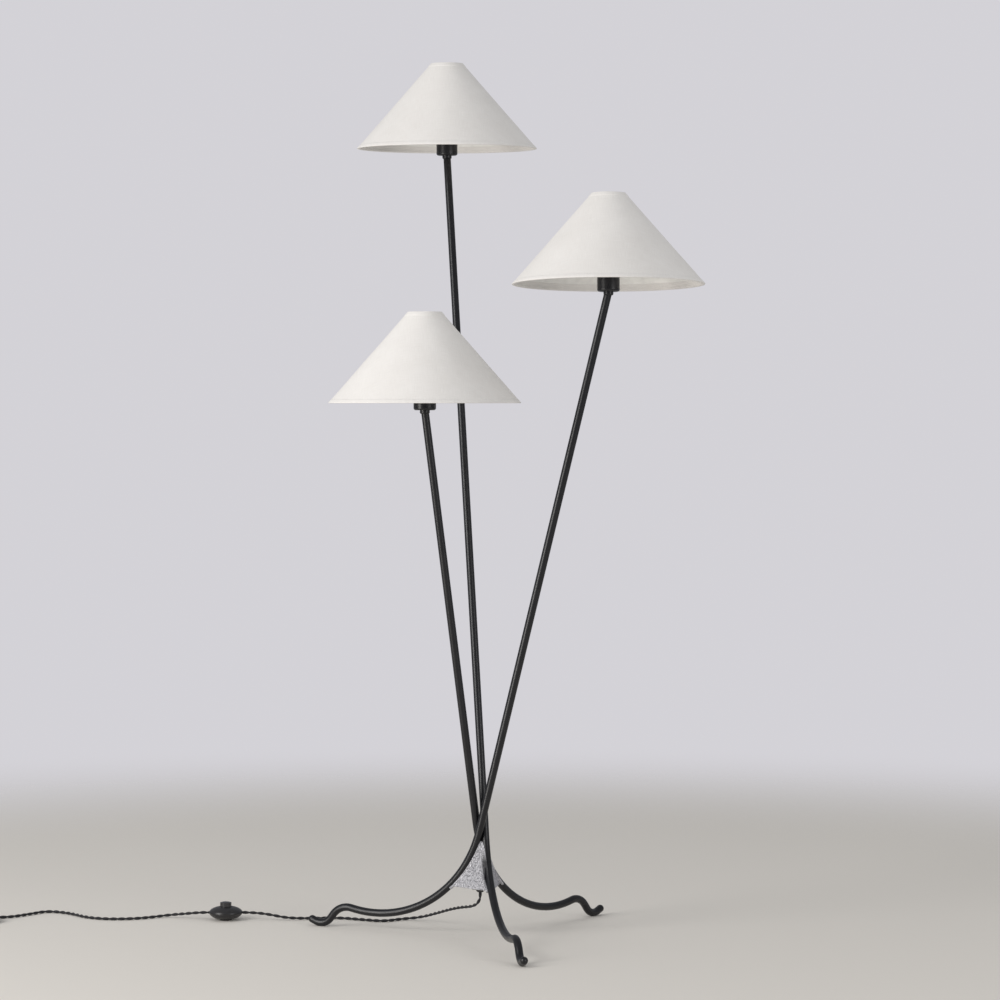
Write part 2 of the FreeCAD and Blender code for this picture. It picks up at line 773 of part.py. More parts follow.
TOP_WIRE_REACH = shade_inside("top_wire_drop") + f" - (arm_wire / 2 + seat_gap) * {WIRE_SET_IN}"
RIM_WIRE_REACH = shade_inside("shade_height - rim_wire_lift") + \
    f" - (rim_wire_size / 2 + seat_gap) * {WIRE_SET_IN}"


def ferrule(rod, bend):
    body = sleeve(rod + "_ferrule", "ferrule_outer", None, "ferrule_height", "-ferrule_height")
    stock = body.Tip
    doc.recompute()
    low_edge = min(range(3), key=lambda i: body.Shape.Edges[i].CenterOfMass.z) + 1
    rounded = body.newObject("PartDesign::Fillet", body.Name + "_round")
    rounded.Base = (stock, [f"Edge{low_edge}"])
    tie(rounded, "Radius", "ferrule_round")
    doc.recompute()
    end = in_plane(math.sin(math.radians(bend)), -math.cos(math.radians(bend)))
    socket = Placement(end * size("2 * ferrule_height"), Rotation(AXIS_Y, 180 - bend))
    bore(body, socket, "tube_outer / 2 + thread_gap", "2 * ferrule_height - tube_set_back")
    bore(body, shift(0, 0, 1), "nipple_outer / 2 + thread_gap", "ferrule_height")
    return body


def bent_path(sketch, corners, bend):
    """An open path through the corners, each rounded to one bend radius."""
    spots = [Vector(size(across), size(up), 0) for across, up in corners]
    radius, starts, lines, arcs = size(bend), [spots[0]], [], []
    for before, spot, after in zip(spots, spots[1:], spots[2:]):
        way_in, way_out = (before - spot).normalize(), (after - spot).normalize()
        half = way_in.getAngle(way_out) / 2
        first, last = spot + way_in * (radius / math.tan(half)), spot + way_out * (radius / math.tan(half))
        side = 1 if (way_out.cross(way_in)).z < 0 else -1
        lines.append(sketch.addGeometry(Part.LineSegment(starts[-1], first)))
        arcs.append((sketch.addGeometry(arc_between(first, last, -side * radius)), side))
        starts.append(last)
    lines.append(sketch.addGeometry(Part.LineSegment(starts[-1], spots[-1])))
    for i, (arc, side) in enumerate(arcs):
        begin, finish = (2, 1) if side > 0 else (1, 2)
        sketch.addConstraint(Sketcher.Constraint("Tangent", lines[i], 2, arc, begin))
        sketch.addConstraint(Sketcher.Constraint("Tangent", arc, finish, lines[i + 1], 1))
        held = sketch.addConstraint(Sketcher.Constraint("Radius", arc, radius))
        tie(sketch, f"Constraints[{held}]", bend)
        mark = sketch.addGeometry(Part.Point(spots[i + 1]), True)
        fix_point(sketch, (mark, 1), *corners[i + 1])
        for line in (lines[i], lines[i + 1]):
            sketch.addConstraint(Sketcher.Constraint("PointOnObject", mark, 1, line))
    fix_point(sketch, (lines[0], 1), *corners[0])
    fix_point(sketch, (lines[-1], 2), *corners[-1])
    return [f"Edge{number}" for number in range(1, 2 * len(lines))]


def shade_fitter(rod):
    """Clamp ring, three bowed arms and top ring, welded into one piece."""
    body = turned(rod + "_shade_fitter", [
        (FITTER_RING_BORE, "cup_height"), ("ring_outer / 2", "cup_height"),
        ("ring_outer / 2", RING_TOP), (FITTER_RING_BORE, RING_TOP)])
    path = new_sketch(body, "XZ_Plane")
    top = f"{SHADE_TOP} - top_wire_drop"
    edges = bent_path(path, [("ring_outer / 2 - arm_wire / 2", RING_TOP + " - ring_thickness / 2"),
                             ("arm_reach", f"{RING_TOP} + arm_low_rise"),
                             ("arm_reach", f"{SHADE_TOP} - arm_high_drop"),
                             (TOP_WIRE_REACH, top)], "arm_bend")
    section = body.newObject("Sketcher::SketchObject", body.Name + "_section")
    section.AttachmentSupport = [(path, "Edge1")]
    section.MapMode = "NormalToEdge"
    circle(section, "arm_wire / 2")
    arm = body.newObject("PartDesign::AdditivePipe", body.Name + "_arm")
    arm.Profile = section
    arm.Spine = (path, edges)
    doc.recompute()
    arms = body.newObject("PartDesign::PolarPattern", body.Name + "_arms")
    arms.Originals = [arm]
    arms.Axis = (path, ["V_Axis"])
    arms.Angle = 360
    arms.Occurrences = ARMS
    body.Tip = arms
    doc.recompute()
    wire = new_sketch(body, "XZ_Plane")
    circle(wire, "arm_wire / 2", TOP_WIRE_REACH, top)
    revolve(body, wire)
    return body


def bulb_glass(rod):
    shoulder = "cos(bulb_shoulder_angle)", "sin(bulb_shoulder_angle)"
    outer, inner = "bulb_outer / 2", "(bulb_outer / 2 - bulb_wall)"
    foot = "holder_floor + shell_bore * 4 / 5"
    return turned(rod + "_bulb_glass", [
        ("bulb_neck / 2 - bulb_wall", foot), ("bulb_neck / 2", foot),
        ("bulb_neck / 2", f"{SKIRT_TOP} + neck_clearance"),
        (f"{outer} * {shoulder[0]}", f"bulb_centre_height - {outer} * {shoulder[1]}", outer),
        ("0", f"bulb_centre_height + {outer}"), ("0", f"bulb_centre_height + {inner}", f"-{inner}"),
        (f"{inner} * {shoulder[0]}", f"bulb_centre_height - {inner} * {shoulder[1]}"),
        ("bulb_neck / 2 - bulb_wall", f"{SKIRT_TOP} + 2")])


HEADS, groups = {}, {name: [] for name in (
    "socket_nipples", "socket_locknuts", "screw_shells", "centre_contacts", "shade_ring_nuts", "bulb_caps")}
for rod in RODS:
    place, bend = head_frame(rod)
    HEADS[rod] = place
    keep(ferrule(rod, bend), place)
    keep(turned(rod + "_cup", [
        ("nipple_outer / 2 + thread_gap", "0"), ("cup_outer / 2 - cup_round", "0", "cup_round"),
        ("cup_outer / 2", "cup_round"), ("cup_outer / 2", "cup_height"),
        ("cup_outer / 2 - cup_wall", "cup_height"),
        ("cup_outer / 2 - cup_wall", "cup_round", "-(cup_round - cup_wall)"),
        ("cup_outer / 2 - cup_round", "cup_wall"), ("nipple_outer / 2 + thread_gap", "cup_wall")]), place)
    keep(turned(rod + "_lampholder", [
        ("nipple_outer / 2 + seat_gap", HOLDER_SEAT), ("holder_outer / 2", HOLDER_SEAT),
        ("holder_outer / 2", "cup_height"), ("skirt_outer / 2", "cup_height"), ("skirt_outer / 2", SKIRT_TOP),
        (f"{SHELL_OUTER} + seat_gap", SKIRT_TOP), (f"{SHELL_OUTER} + seat_gap", "holder_floor"),
        ("nipple_bore / 2", "holder_floor"), ("nipple_bore / 2", "nipple_top + seat_gap"),
        ("nipple_outer / 2 + seat_gap", "nipple_top + seat_gap")]), place)
    keep(bulb_glass(rod), place)
    keep(shade_fitter(rod), place)
    rim = new_body(rod + "_rim_wire")
    sketch = new_sketch(rim, "XZ_Plane")
    circle(sketch, "rim_wire_size / 2", RIM_WIRE_REACH, "shade_lift + rim_wire_lift")
    revolve(rim, sketch)
    keep(rim, place)
    keep(turned(rod + "_shade_skin", [
        ("shade_base / 2", "shade_lift"), ("shade_top / 2", SHADE_TOP),
        ("shade_top / 2 - shade_wall", SHADE_TOP), ("shade_base / 2 - shade_wall", "shade_lift")]), place)
    groups["socket_nipples"].append(sleeve(rod + "_nipple", "nipple_outer", "nipple_bore",
                                           "nipple_drop + nipple_top", "-nipple_drop"))
    groups["socket_locknuts"].append(hex_nut(rod + "_locknut", "locknut_flats",
                                             "nipple_outer + 2 * thread_gap", "locknut_height", "cup_wall"))
    groups["screw_shells"].append(turned(rod + "_screw_shell", [
        ("contact_outer / 2 + seat_gap", "holder_floor"), (SHELL_OUTER, "holder_floor"),
        (SHELL_OUTER, f"{SKIRT_TOP} - shell_top_gap"), ("shell_bore / 2", f"{SKIRT_TOP} - shell_top_gap"),
        ("shell_bore / 2", "holder_floor + shell_wall"),
        ("contact_outer / 2 + seat_gap", "holder_floor + shell_wall")]))
    groups["centre_contacts"].append(sleeve(rod + "_contact", "contact_outer", None, "contact_height",
                                            "holder_floor"))
    groups["shade_ring_nuts"].append(sleeve(rod + "_ring_nut", "ring_nut_outer",
                                            "skirt_outer + 2 * thread_gap", "ring_nut_height", RING_TOP))
    groups["bulb_caps"].append(turned(rod + "_bulb_cap", [
        ("0", CAP_FLOOR), ("cap_tip / 2", CAP_FLOOR), ("cap_outer / 2", f"{CAP_FLOOR} + cap_outer / 4"),
        ("cap_outer / 2", SKIRT_TOP), ("cap_outer / 2 - cap_wall", SKIRT_TOP),
        ("cap_outer / 2 - cap_wall", f"{CAP_FLOOR} + cap_outer / 4 + cap_wall"),
        ("cap_tip / 2", f"{CAP_FLOOR} + 2 * cap_wall"), ("0", f"{CAP_FLOOR} + 2 * cap_wall")]))
    for members in groups.values():
        members[-1].Placement = place
for name, members in groups.items():
    gather(name, members)

# ---------------------------------------------------------------- inner leads
# One two-core lead runs through each tube from the lampholder to the terminal block, and the supply
# cord's tail runs up through the gland to it.


def rounded_wire(points, radii):
    """Straight runs joined by tangent arcs, one radius for each corner."""
    edges, start = [], points[0]
    for before, corner, after, radius in zip(points, points[1:], points[2:], radii):
        way_in, way_out = (before - corner).normalize(), (after - corner).normalize()
        half = way_in.getAngle(way_out) / 2
        cut = radius / math.tan(half)
        middle = (way_in + way_out).normalize()
        crown = corner + middle * (radius / math.sin(half) - radius)
        edges.append(Part.LineSegment(start, corner + way_in * cut).toShape())
        edges.append(Part.Arc(corner + way_in * cut, crown, corner + way_out * cut).toShape())
        start = corner + way_out * cut
    edges.append(Part.LineSegment(start, points[-1]).toShape())
    return Part.Wire(edges)


leads = []
for rod in RODS:
    hole = FRAMES[rod] * lead_hole_frame(rod)
    axis_point = hole.multVec(AXIS_Z * -size("tube_outer / 2"))
    clear = hole.multVec(AXIS_Z * size("lead_outer"))
    block_top = size("hub_floor_height + gland_thread_length + block_height + 2 * seat_gap")
    out = Vector(clear.x - GLAND.x, clear.y - GLAND.y, 0).normalize() * size("block_outer / 2 - lead_outer")
    rest = Vector(GLAND.x + out.x, GLAND.y + out.y, block_top)
    over = rest + AXIS_Z * size("lead_bend + lead_outer / 4")
    stem_end = RUNS[rod]["stem_end"].z
    half_way = rod_world(rod, (stem_end + size("lead_exit_height")) / 2)
    top = HEADS[rod].multVec(AXIS_Z * size("holder_floor - seat_gap"))
    soft, tight = size("lead_soft_bend"), size("lead_bend")
    stops = [top, HEADS[rod].Base, rod_world(rod, stem_end), half_way, axis_point, clear, over, rest]
    path = rounded_wire(stops, [soft, soft, soft, tight, tight, tight])
    lead = doc.addObject("Part::Feature", rod + "_lead")
    lead.Shape = swept(path, size("lead_outer / 2"))
    leads.append(lead)
tail = sleeve("supply_tail", "cord_outer", None, "gland_lip_height + gland_thread_length",
              "-gland_lip_height")
tail.Placement = AT_GLAND
leads.append(tail)
gather("inner_leads", leads)

# ---------------------------------------------------------------- foot switch
# A round two-shell body on a rubber foot. The sprung button carries a contact bridge down onto two
# brass terminals in the contact block, where the cord comes in on both sides.

AT_SWITCH = shift(size("switch_x"), size("switch_y"), 0)
RIM = "switch_outer / 2"
INNER_RIM = "switch_outer / 2 - switch_wall"
BELLY = "pad_height"
base = turned("switch_base", [
    ("0", BELLY), ("pad_outer / 2", BELLY, "switch_belly_radius"), (RIM, "switch_seam_height - switch_band"),
    (RIM, "switch_seam_height"), (INNER_RIM, "switch_seam_height"),
    ("rib_outer / 2", "rib_height"), ("block_seat / 2 + seat_gap", "rib_height"),
    ("block_seat / 2 + seat_gap", f"{BELLY} + switch_wall"), ("0", f"{BELLY} + switch_wall")])
cover = turned("switch_cover", [
    (INNER_RIM, "switch_seam_height"), (RIM, "switch_seam_height"),
    (RIM, "switch_seam_height + switch_band", "switch_crown_radius"),
    ("button_outer / 2 + button_gap", "switch_crown_height"),
    ("button_outer / 2 + button_gap", "switch_crown_height - switch_wall",
     "-(switch_crown_radius - switch_wall)"),
    (INNER_RIM, "switch_seam_height + switch_band")])


def cord_holes(body):
    """Round holes through both sides of a shell, centred on the seam between the shells."""
    place = Placement(Vector(size(RIM) + 1, 0, size("switch_seam_height")), Rotation(AXIS_Y, 90))
    bore(body, place, "cord_outer / 2 + cord_hole_gap", "switch_outer + 2")


def at_screws(body, kind, radius, low, length):
    """Two round features, one at each screw."""
    sketch = new_sketch(body, "XY_Plane")
    tie(sketch, "AttachmentOffset.Base.z", low)
    for side in ("", "-"):
        circle(sketch, radius, "0", f"{side}post_reach")
    made = feature(body, kind, sketch, length)
    doc.recompute()
    return made


SCREW_HEAD_TOP = "(rib_height - rib_floor)"
cord_holes(base)
must_cut(base, at_screws(base, "Pocket", "switch_screw_head / 2 + seat_gap", SCREW_HEAD_TOP, SCREW_HEAD_TOP))
must_cut(base, at_screws(base, "Pocket", "switch_screw_size / 2 + seat_gap / 2", "rib_height + seat_gap",
                         "rib_height"))
keep(base, AT_SWITCH)
at_screws(cover, "Pad", "post_size / 2", "rib_height + seat_gap", "post_length")
cord_holes(cover)
must_cut(cover, at_screws(cover, "Pocket", "switch_screw_size / 2 + thread_gap",
                          f"{SCREW_HEAD_TOP} + switch_screw_length + seat_gap",
                          "switch_screw_length - rib_floor"))
keep(cover, AT_SWITCH)
screws = []
for side in (-1, 1):
    screw = turned("switch_screw_" + ("front" if side < 0 else "rear"), [
        ("0", f"{SCREW_HEAD_TOP} - switch_screw_head_height"),
        ("switch_screw_head / 2", f"{SCREW_HEAD_TOP} - switch_screw_head_height"),
        ("switch_screw_head / 2", SCREW_HEAD_TOP), ("switch_screw_size / 2", SCREW_HEAD_TOP),
        ("switch_screw_size / 2", f"{SCREW_HEAD_TOP} + switch_screw_length"),
        ("0", f"{SCREW_HEAD_TOP} + switch_screw_length")])
    screw.Placement = AT_SWITCH * shift(0, side * size("post_reach"), 0)
    screws.append(screw)
gather("switch_screws", screws)
keep(sleeve("switch_pad", "pad_outer", None, "pad_height"), AT_SWITCH)

FLANGE_TOP = "(switch_crown_height - switch_wall - flange_drop)"
BRIDGE_LOW = "block_top_height + tab_height + button_travel + seat_gap"
CEILING = "(button_top_height - button_dome_rise - button_wall)"
DOME_RADIUS = "((button_outer / 2) ^ 2 + button_dome_rise ^ 2) / (2 * button_dome_rise)"
button = turned("switch_button", [
    ("0", f"{BRIDGE_LOW} + bridge_height"), ("plunger_size / 2", f"{BRIDGE_LOW} + bridge_height"),
    ("plunger_size / 2", CEILING), ("button_outer / 2 - button_wall", CEILING),
    ("button_outer / 2 - button_wall", f"{FLANGE_TOP} - button_flange_height"),
    ("button_flange / 2", f"{FLANGE_TOP} - button_flange_height"), ("button_flange / 2", FLANGE_TOP),
    ("button_outer / 2", FLANGE_TOP),
    ("button_outer / 2", "button_top_height - button_dome_rise", DOME_RADIUS), ("0", "button_top_height")])
keep(button, AT_SWITCH)
keep(sleeve("contact_bridge", "bridge_outer", None, "bridge_height", BRIDGE_LOW), AT_SWITCH)

block = sleeve("contact_block", "block_seat", None, f"block_top_height - {BELLY} - switch_wall",
               f"{BELLY} + switch_wall")
CHEEK_OUT = "(block_seat / 2 - cheek_inset)"
for side in ("", "-"):
    cheek = new_sketch(block, "XY_Plane")
    tie(cheek, "AttachmentOffset.Base.z", "block_top_height")
    ends = [f"{side}({CHEEK_OUT} - cheek_thickness)", f"{side}{CHEEK_OUT}"]
    ends.sort(key=size)
    rectangle(cheek, ends[0], "-cheek_width / 2", ends[1], "cheek_width / 2")
    feature(block, "Pad", cheek, "cheek_height - block_top_height")
slots = new_sketch(block, "XY_Plane")
tie(slots, "AttachmentOffset.Base.z", "block_top_height")
TERMINAL_IN, TERMINAL_OUT = "bridge_outer / 5", f"{CHEEK_OUT} - cheek_thickness"
for side in ("", "-"):
    ends = sorted([f"{side}({TERMINAL_IN})", f"{side}({TERMINAL_OUT})"], key=size)
    rectangle(slots, ends[0], "-terminal_width / 2 - thread_gap", ends[1], "terminal_width / 2 + thread_gap")
must_cut(block, feature(block, "Pocket", slots, "terminal_thickness"))
keep(block, AT_SWITCH)
terminals = []
for side, name in ((0, "right"), (180, "left")):
    strip = new_body("terminal_" + name)
    sketch = new_sketch(strip, "XZ_Plane")
    flat_low, flat_top = "block_top_height - terminal_thickness", "block_top_height"
    tab_out = f"{TERMINAL_IN} + tab_length"
    outline(sketch, [(f"{TERMINAL_IN} + thread_gap", flat_low), (f"{TERMINAL_OUT} - thread_gap", flat_low),
                     (f"{TERMINAL_OUT} - thread_gap", flat_top), (tab_out, flat_top),
                     (tab_out, f"{flat_top} + tab_height"),
                     (f"{TERMINAL_IN} + thread_gap", f"{flat_top} + tab_height")])
    made = feature(strip, "Pad", sketch, "terminal_width")
    made.Midplane = True
    strip.Placement = AT_SWITCH * turn(AXIS_Z, side)
    terminals.append(strip)
gather("switch_terminals", terminals)


NUDGE = 0.001  # turns
WINDING_STEP = 0.25  # turns


def curve_pair(first, first_way, last, last_way):
    """Two arcs in one smooth go from a point and way to another point and way."""
    span, ways = last - first, first_way + last_way
    spare = 4 - ways.dot(ways)
    lean = span.dot(ways)
    reach = (math.sqrt(lean ** 2 + spare * span.dot(span)) - lean) / spare
    corners = first + first_way * reach, last - last_way * reach
    meet = (corners[0] + corners[1]) * 0.5
    arcs = []
    for start, corner, end in ((first, corners[0], meet), (meet, corners[1], last)):
        half_way = (start + end) * 0.5
        rise, half = corner - half_way, (end - start).Length / 2
        radius = half * reach / rise.Length
        crown = half_way + rise.normalize() * (radius - math.sqrt(radius ** 2 - half ** 2))
        arcs.append(Part.Arc(start, crown, end).toShape())
    return arcs


def wound_wire(place_at, turns, step, lead_in=0.0, lead_out=0.0):
    """A wire through place_at(turn) for turns from 0 on, a step at a time, with straight ends."""
    def way_at(turn_now):
        return (place_at(turn_now + NUDGE) - place_at(turn_now - NUDGE)).normalize()
    stops = [number * step for number in range(round(turns / step) + 1)]
    edges = []
    for now, then in zip(stops, stops[1:]):
        edges += curve_pair(place_at(now), way_at(now), place_at(then), way_at(then))
    if lead_in:
        start = place_at(0)
        edges.insert(0, Part.LineSegment(start - way_at(0) * lead_in, start).toShape())
    if lead_out:
        end = place_at(stops[-1])
        edges.append(Part.LineSegment(end, end + way_at(stops[-1]) * lead_out).toShape())
    return Part.Wire(edges)


SPRING_LOW = size("block_top_height + seat_gap + spring_wire / 2")
SPRING_RISE = size(f"{CEILING} - seat_gap - spring_wire / 2") - SPRING_LOW


def spring_point(turn_now):
    angle = 2 * math.pi * turn_now
    reach = size("spring_mean / 2")
    return Vector(reach * math.cos(angle), reach * math.sin(angle),
                  SPRING_LOW + SPRING_RISE * turn_now / SPRING_TURNS)


spring = swept(wound_wire(spring_point, SPRING_TURNS, WINDING_STEP), size("spring_wire / 2"))
spring.Placement = AT_SWITCH
solid("switch_spring", spring)

# ---------------------------------------------------------------- cord
# One cloth-covered twisted cord. It leaves the gland, sags to the floor behind the left leg, passes
# through the foot switch and runs on in loose curves. The rest is put away in a two-layer coil.

GLAND_MOUTH = Vector(GLAND.x, GLAND.y, size("hub_floor_height - gland_lip_height"))
SWITCH_SIDE = size(CHEEK_OUT)
SWITCH_AXIS = AT_SWITCH.multVec(AXIS_Z * size("switch_seam_height"))
FLOOR = size("cord_floor")
GLAND_DROP = 8.5
CORNER_SHARE = 0.45
HUB_TO_SWITCH = [
    GLAND_MOUTH, GLAND_MOUTH - AXIS_Z * GLAND_DROP, Vector(-3.8, 6.9, 64), Vector(-9.5, 16.5, 56),
    Vector(-20, 34.5, 49.5), Vector(-37, 64, 44),
    Vector(-59, 102, 34), Vector(-88, 152, 18), Vector(-117, 190, 5.2), Vector(-150, 187, FLOOR),
    Vector(-181, 160, FLOOR), Vector(-222, 180, FLOOR), Vector(-266, 203, FLOOR), Vector(-318, 195, FLOOR),
    Vector(-362, 187, 4.5), Vector(-400, 192, 11.5), Vector(-432, 196, 14),
    SWITCH_AXIS + AXIS_X * SWITCH_SIDE]
SWITCH_TO_COIL = [
    SWITCH_AXIS - AXIS_X * SWITCH_SIDE, Vector(-522, 196, 14), Vector(-551, 205, 10.5),
    Vector(-583, 226, 4.8), Vector(-613, 212, FLOOR), Vector(-648, 190, FLOOR), Vector(-700, 186, FLOOR),
    Vector(-741, 208, FLOOR), Vector(-776, 258, FLOOR), Vector(-822, 285, FLOOR), Vector(-852, 244, FLOOR),
    Vector(-882, 211, FLOOR), Vector(-909, 206.5, FLOOR), Vector(-931, 206, FLOOR)]


def cord_wire(label, points):
    """Straight runs joined by the largest tangent arcs that the runs allow."""
    radii = []
    for before, corner, after in zip(points, points[1:], points[2:]):
        half_turn = (corner - before).getAngle(after - corner) / 2
        shorter = min((corner - before).Length, (after - corner).Length)
        radii.append(CORNER_SHARE * shorter / math.tan(half_turn))
    print(label, "radii", [round(radius) for radius in radii])
    return rounded_wire(points, radii)


def cord_piece(label, wire):
    tube = swept(wire, size("cord_outer / 2"))
    expected = math.pi * size("cord_outer / 2") ** 2 * wire.Length
    print(label, "length", round(wire.Length, 1), "volume over expected", round(tube.Volume / expected, 4))
    return solid(label, tube)


hub_run = cord_wire("cord_hub_to_switch", HUB_TO_SWITCH)
cord_piece("cord_hub_to_switch", hub_run)

# The coil winds anticlockwise from its outermost turn inwards on the floor, climbs a layer in the
# half turn where it reverses, and winds out again on top.
COIL_START = SWITCH_TO_COIL[-1] - AXIS_X * size("cord_outer")
COIL_MIDDLE = COIL_START - AXIS_Y * size("coil_first_radius")
COIL_TURNS = COIL_TURNS_IN + COIL_TURNS_OUT
REVERSAL = 0.25  # turns before and after the innermost point
GAP_SAMPLES = 48  # a turn


def coil_point(turn_now):
    """The coil's centre line: the radius shrinks for the turns in and grows again for the turns out."""
    pitch, layer = size("coil_turn_pitch"), size("coil_layer_pitch")
    past = turn_now - COIL_TURNS_IN
    if abs(past) < REVERSAL:
        away = (past ** 2 / REVERSAL + REVERSAL) / 2
    else:
        away = abs(past)
    reach = size("coil_first_radius") - pitch * (COIL_TURNS_IN - away)
    climb = min(1, max(0, past / (2 * REVERSAL) + 0.5))
    lift = layer * (3 * climb ** 2 - 2 * climb ** 3)
    angle = math.pi / 2 + 2 * math.pi * turn_now
    return COIL_MIDDLE + Vector(reach * math.cos(angle), reach * math.sin(angle), lift)


coil_wire = wound_wire(coil_point, COIL_TURNS, WINDING_STEP, size("cord_outer"), size("cord_outer"))
# the cord's last run is in line with the coil's own straight start
way_in = (coil_wire.OrderedVertexes[1].Point - coil_wire.OrderedVertexes[0].Point).normalize()
coil_begin = coil_wire.OrderedVertexes[0].Point
straight = [coil_begin - way_in * size("coil_run_in"), coil_begin]
coil_run = cord_wire("cord_switch_to_coil", SWITCH_TO_COIL[:-2] + straight)
cord_piece("cord_switch_to_coil", coil_run)
cord_piece("cord_coil", coil_wire)
samples = [coil_point(number / GAP_SAMPLES) for number in range(int(COIL_TURNS * GAP_SAMPLES) + 1)]
near = min(first.distanceToPoint(second) for number, first in enumerate(samples)
           for second in samples[number + GAP_SAMPLES // 2:])
print("coil's least gap to itself", round(near - size("cord_outer"), 2))

# ---------------------------------------------------------------- plug
# A moulded two-pin plug with a tapered boot. It lies on the floor beside the coil.

coil_end = coil_wire.OrderedVertexes[-1].Point
way_out = (coil_end - coil_wire.OrderedVertexes[-2].Point).normalize()
run_half = size("plug_run / 2")
PLUG_RUN = [coil_end, coil_end + way_out * run_half,
            coil_end + way_out * 2 * run_half - AXIS_X * size("plug_run_drift")]
last_way = (PLUG_RUN[-1] - PLUG_RUN[-2]).normalize()
cord_piece("cord_coil_to_plug", cord_wire("cord_coil_to_plug", PLUG_RUN))
across = AXIS_Z.cross(last_way) * -1
AT_PLUG = Placement(PLUG_RUN[-1], Rotation(across, AXIS_Z, last_way, "ZXY"))
plug = turned("plug_body", [
    ("0", "0"), ("boot_end / 2", "0"), ("boot_outer / 2", "boot_length"),
    ("boot_outer / 2", "boot_length + plug_round"), ("0", "boot_length + plug_round")])
front = new_sketch(plug, "XY_Plane")
tie(front, "AttachmentOffset.Base.z", "boot_length")
rectangle(front, "-plug_width / 2", "-plug_thickness / 2", "plug_width / 2", "plug_thickness / 2")
feature(plug, "Pad", front, "plug_length")
stock = plug.Tip
doc.recompute()
long_edges = [f"Edge{i}" for i, edge in enumerate(stock.Shape.Edges, 1)
              if abs(edge.Length - size("plug_length")) < SMALLEST_CUT]
rounded = plug.newObject("PartDesign::Fillet", "plug_round")
rounded.Base = (stock, long_edges)
tie(rounded, "Radius", "plug_round")
doc.recompute()
sockets = new_sketch(plug, "XY_Plane")
tie(sockets, "AttachmentOffset.Base.z", "boot_length + plug_length")
for side in (-1, 1):
    middle = f"({side} * blade_spacing / 2)"
    rectangle(sockets, f"{middle} - blade_thickness / 2 - thread_gap", "-blade_width / 2 - thread_gap",
              f"{middle} + blade_thickness / 2 + thread_gap", "blade_width / 2 + thread_gap")
must_cut(plug, feature(plug, "Pocket", sockets, "blade_root"))
keep(plug, AT_PLUG)
blades = []
for side in (-1, 1):
    blade = new_body("blade_" + ("left" if side < 0 else "right"))
    sketch = new_sketch(blade, "XY_Plane")
    tie(sketch, "AttachmentOffset.Base.z", "boot_length + plug_length - blade_root + seat_gap")
    middle = f"({side} * blade_spacing / 2)"
    rectangle(sketch, f"{middle} - blade_thickness / 2", "-blade_width / 2",
              f"{middle} + blade_thickness / 2", "blade_width / 2")
    feature(blade, "Pad", sketch, "blade_root - seat_gap + blade_length")
    blade.Placement = AT_PLUG
    blades.append(blade)
gather("plug_blades", blades)

# ---------------------------------------------------------------- check and write the pieces
doc.recompute()
for thing in doc.Objects:
    if {"Invalid", "Error"} & set(thing.State):
        raise RuntimeError(f"{thing.Label} did not build")
os.makedirs("parts", exist_ok=True)
for piece in kept:
    if piece.Shape.isNull() or not piece.Shape.isValid() or not piece.Shape.Solids:
        raise RuntimeError(f"{piece.Label} has no valid solid")
    piece.Shape.exportStep(f"parts/{piece.Label}.step")
print(len(kept), "pieces")
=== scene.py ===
import math

import bmesh
import bpy
from mathutils import Matrix, Vector, noise


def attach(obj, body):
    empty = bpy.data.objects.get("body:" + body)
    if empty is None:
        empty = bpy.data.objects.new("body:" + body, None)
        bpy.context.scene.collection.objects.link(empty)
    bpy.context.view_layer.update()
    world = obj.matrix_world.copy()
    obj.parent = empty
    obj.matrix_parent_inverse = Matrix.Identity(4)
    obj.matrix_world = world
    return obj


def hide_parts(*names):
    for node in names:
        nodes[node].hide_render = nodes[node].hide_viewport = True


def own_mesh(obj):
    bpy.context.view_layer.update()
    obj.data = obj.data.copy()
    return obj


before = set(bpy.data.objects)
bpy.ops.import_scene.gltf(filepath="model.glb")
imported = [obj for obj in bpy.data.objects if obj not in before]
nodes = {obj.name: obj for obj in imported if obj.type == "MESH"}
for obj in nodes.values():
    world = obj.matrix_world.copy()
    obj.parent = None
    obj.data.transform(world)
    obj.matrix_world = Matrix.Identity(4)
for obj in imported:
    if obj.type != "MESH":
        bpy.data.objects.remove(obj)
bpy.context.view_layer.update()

scene = bpy.context.scene

# ------------------------------------------------------------------ view, floor and lights
# The photograph's long lens, 6 m in front of the lamp at a metre's height. A plain pale floor takes
# the shadows and fades into the backdrop's grey. A broad light from the left front, a low one that
# reaches in under the shades, and a weak fill. Shiny parts mirror a dim room.


def linked(name, data):
    """A new object in the scene."""
    made = bpy.data.objects.new(name, data)
    scene.collection.objects.link(made)
    return made


lens = bpy.data.cameras.new("view")
lens.sensor_width, lens.lens, lens.clip_end = 36.0, 123.3, 60.0
camera = linked("view", lens)
camera.location = (0.034, -6.170, 1.000)
camera.rotation_euler = (math.radians(90 - 1.94), 0, 0)
scene.camera = camera
scene.view_settings.view_transform = "Standard"

BACKDROP = (0.655, 0.645, 0.680)
world = bpy.data.worlds.new("studio")
scene.world = world
world.use_nodes = True
air = world.node_tree
air.nodes.clear()


def place(tree, kind, settings=None, **sockets):
    """Adds a node. A socket, by its name or as in0, in1 by its number, takes a value or another's output."""
    made = tree.nodes.new(kind if "Node" in kind else "ShaderNode" + kind)
    for key, value in (settings or {}).items():
        setattr(made, key, value)
    for key, value in sockets.items():
        known = key[:2] == "in" and key[2:].isdigit()
        socket = made.inputs[int(key[2:]) if known else key.replace("_", " ")]
        if isinstance(value, bpy.types.NodeSocket):
            tree.links.new(value, socket)
        else:
            socket.default_value = value
    return made


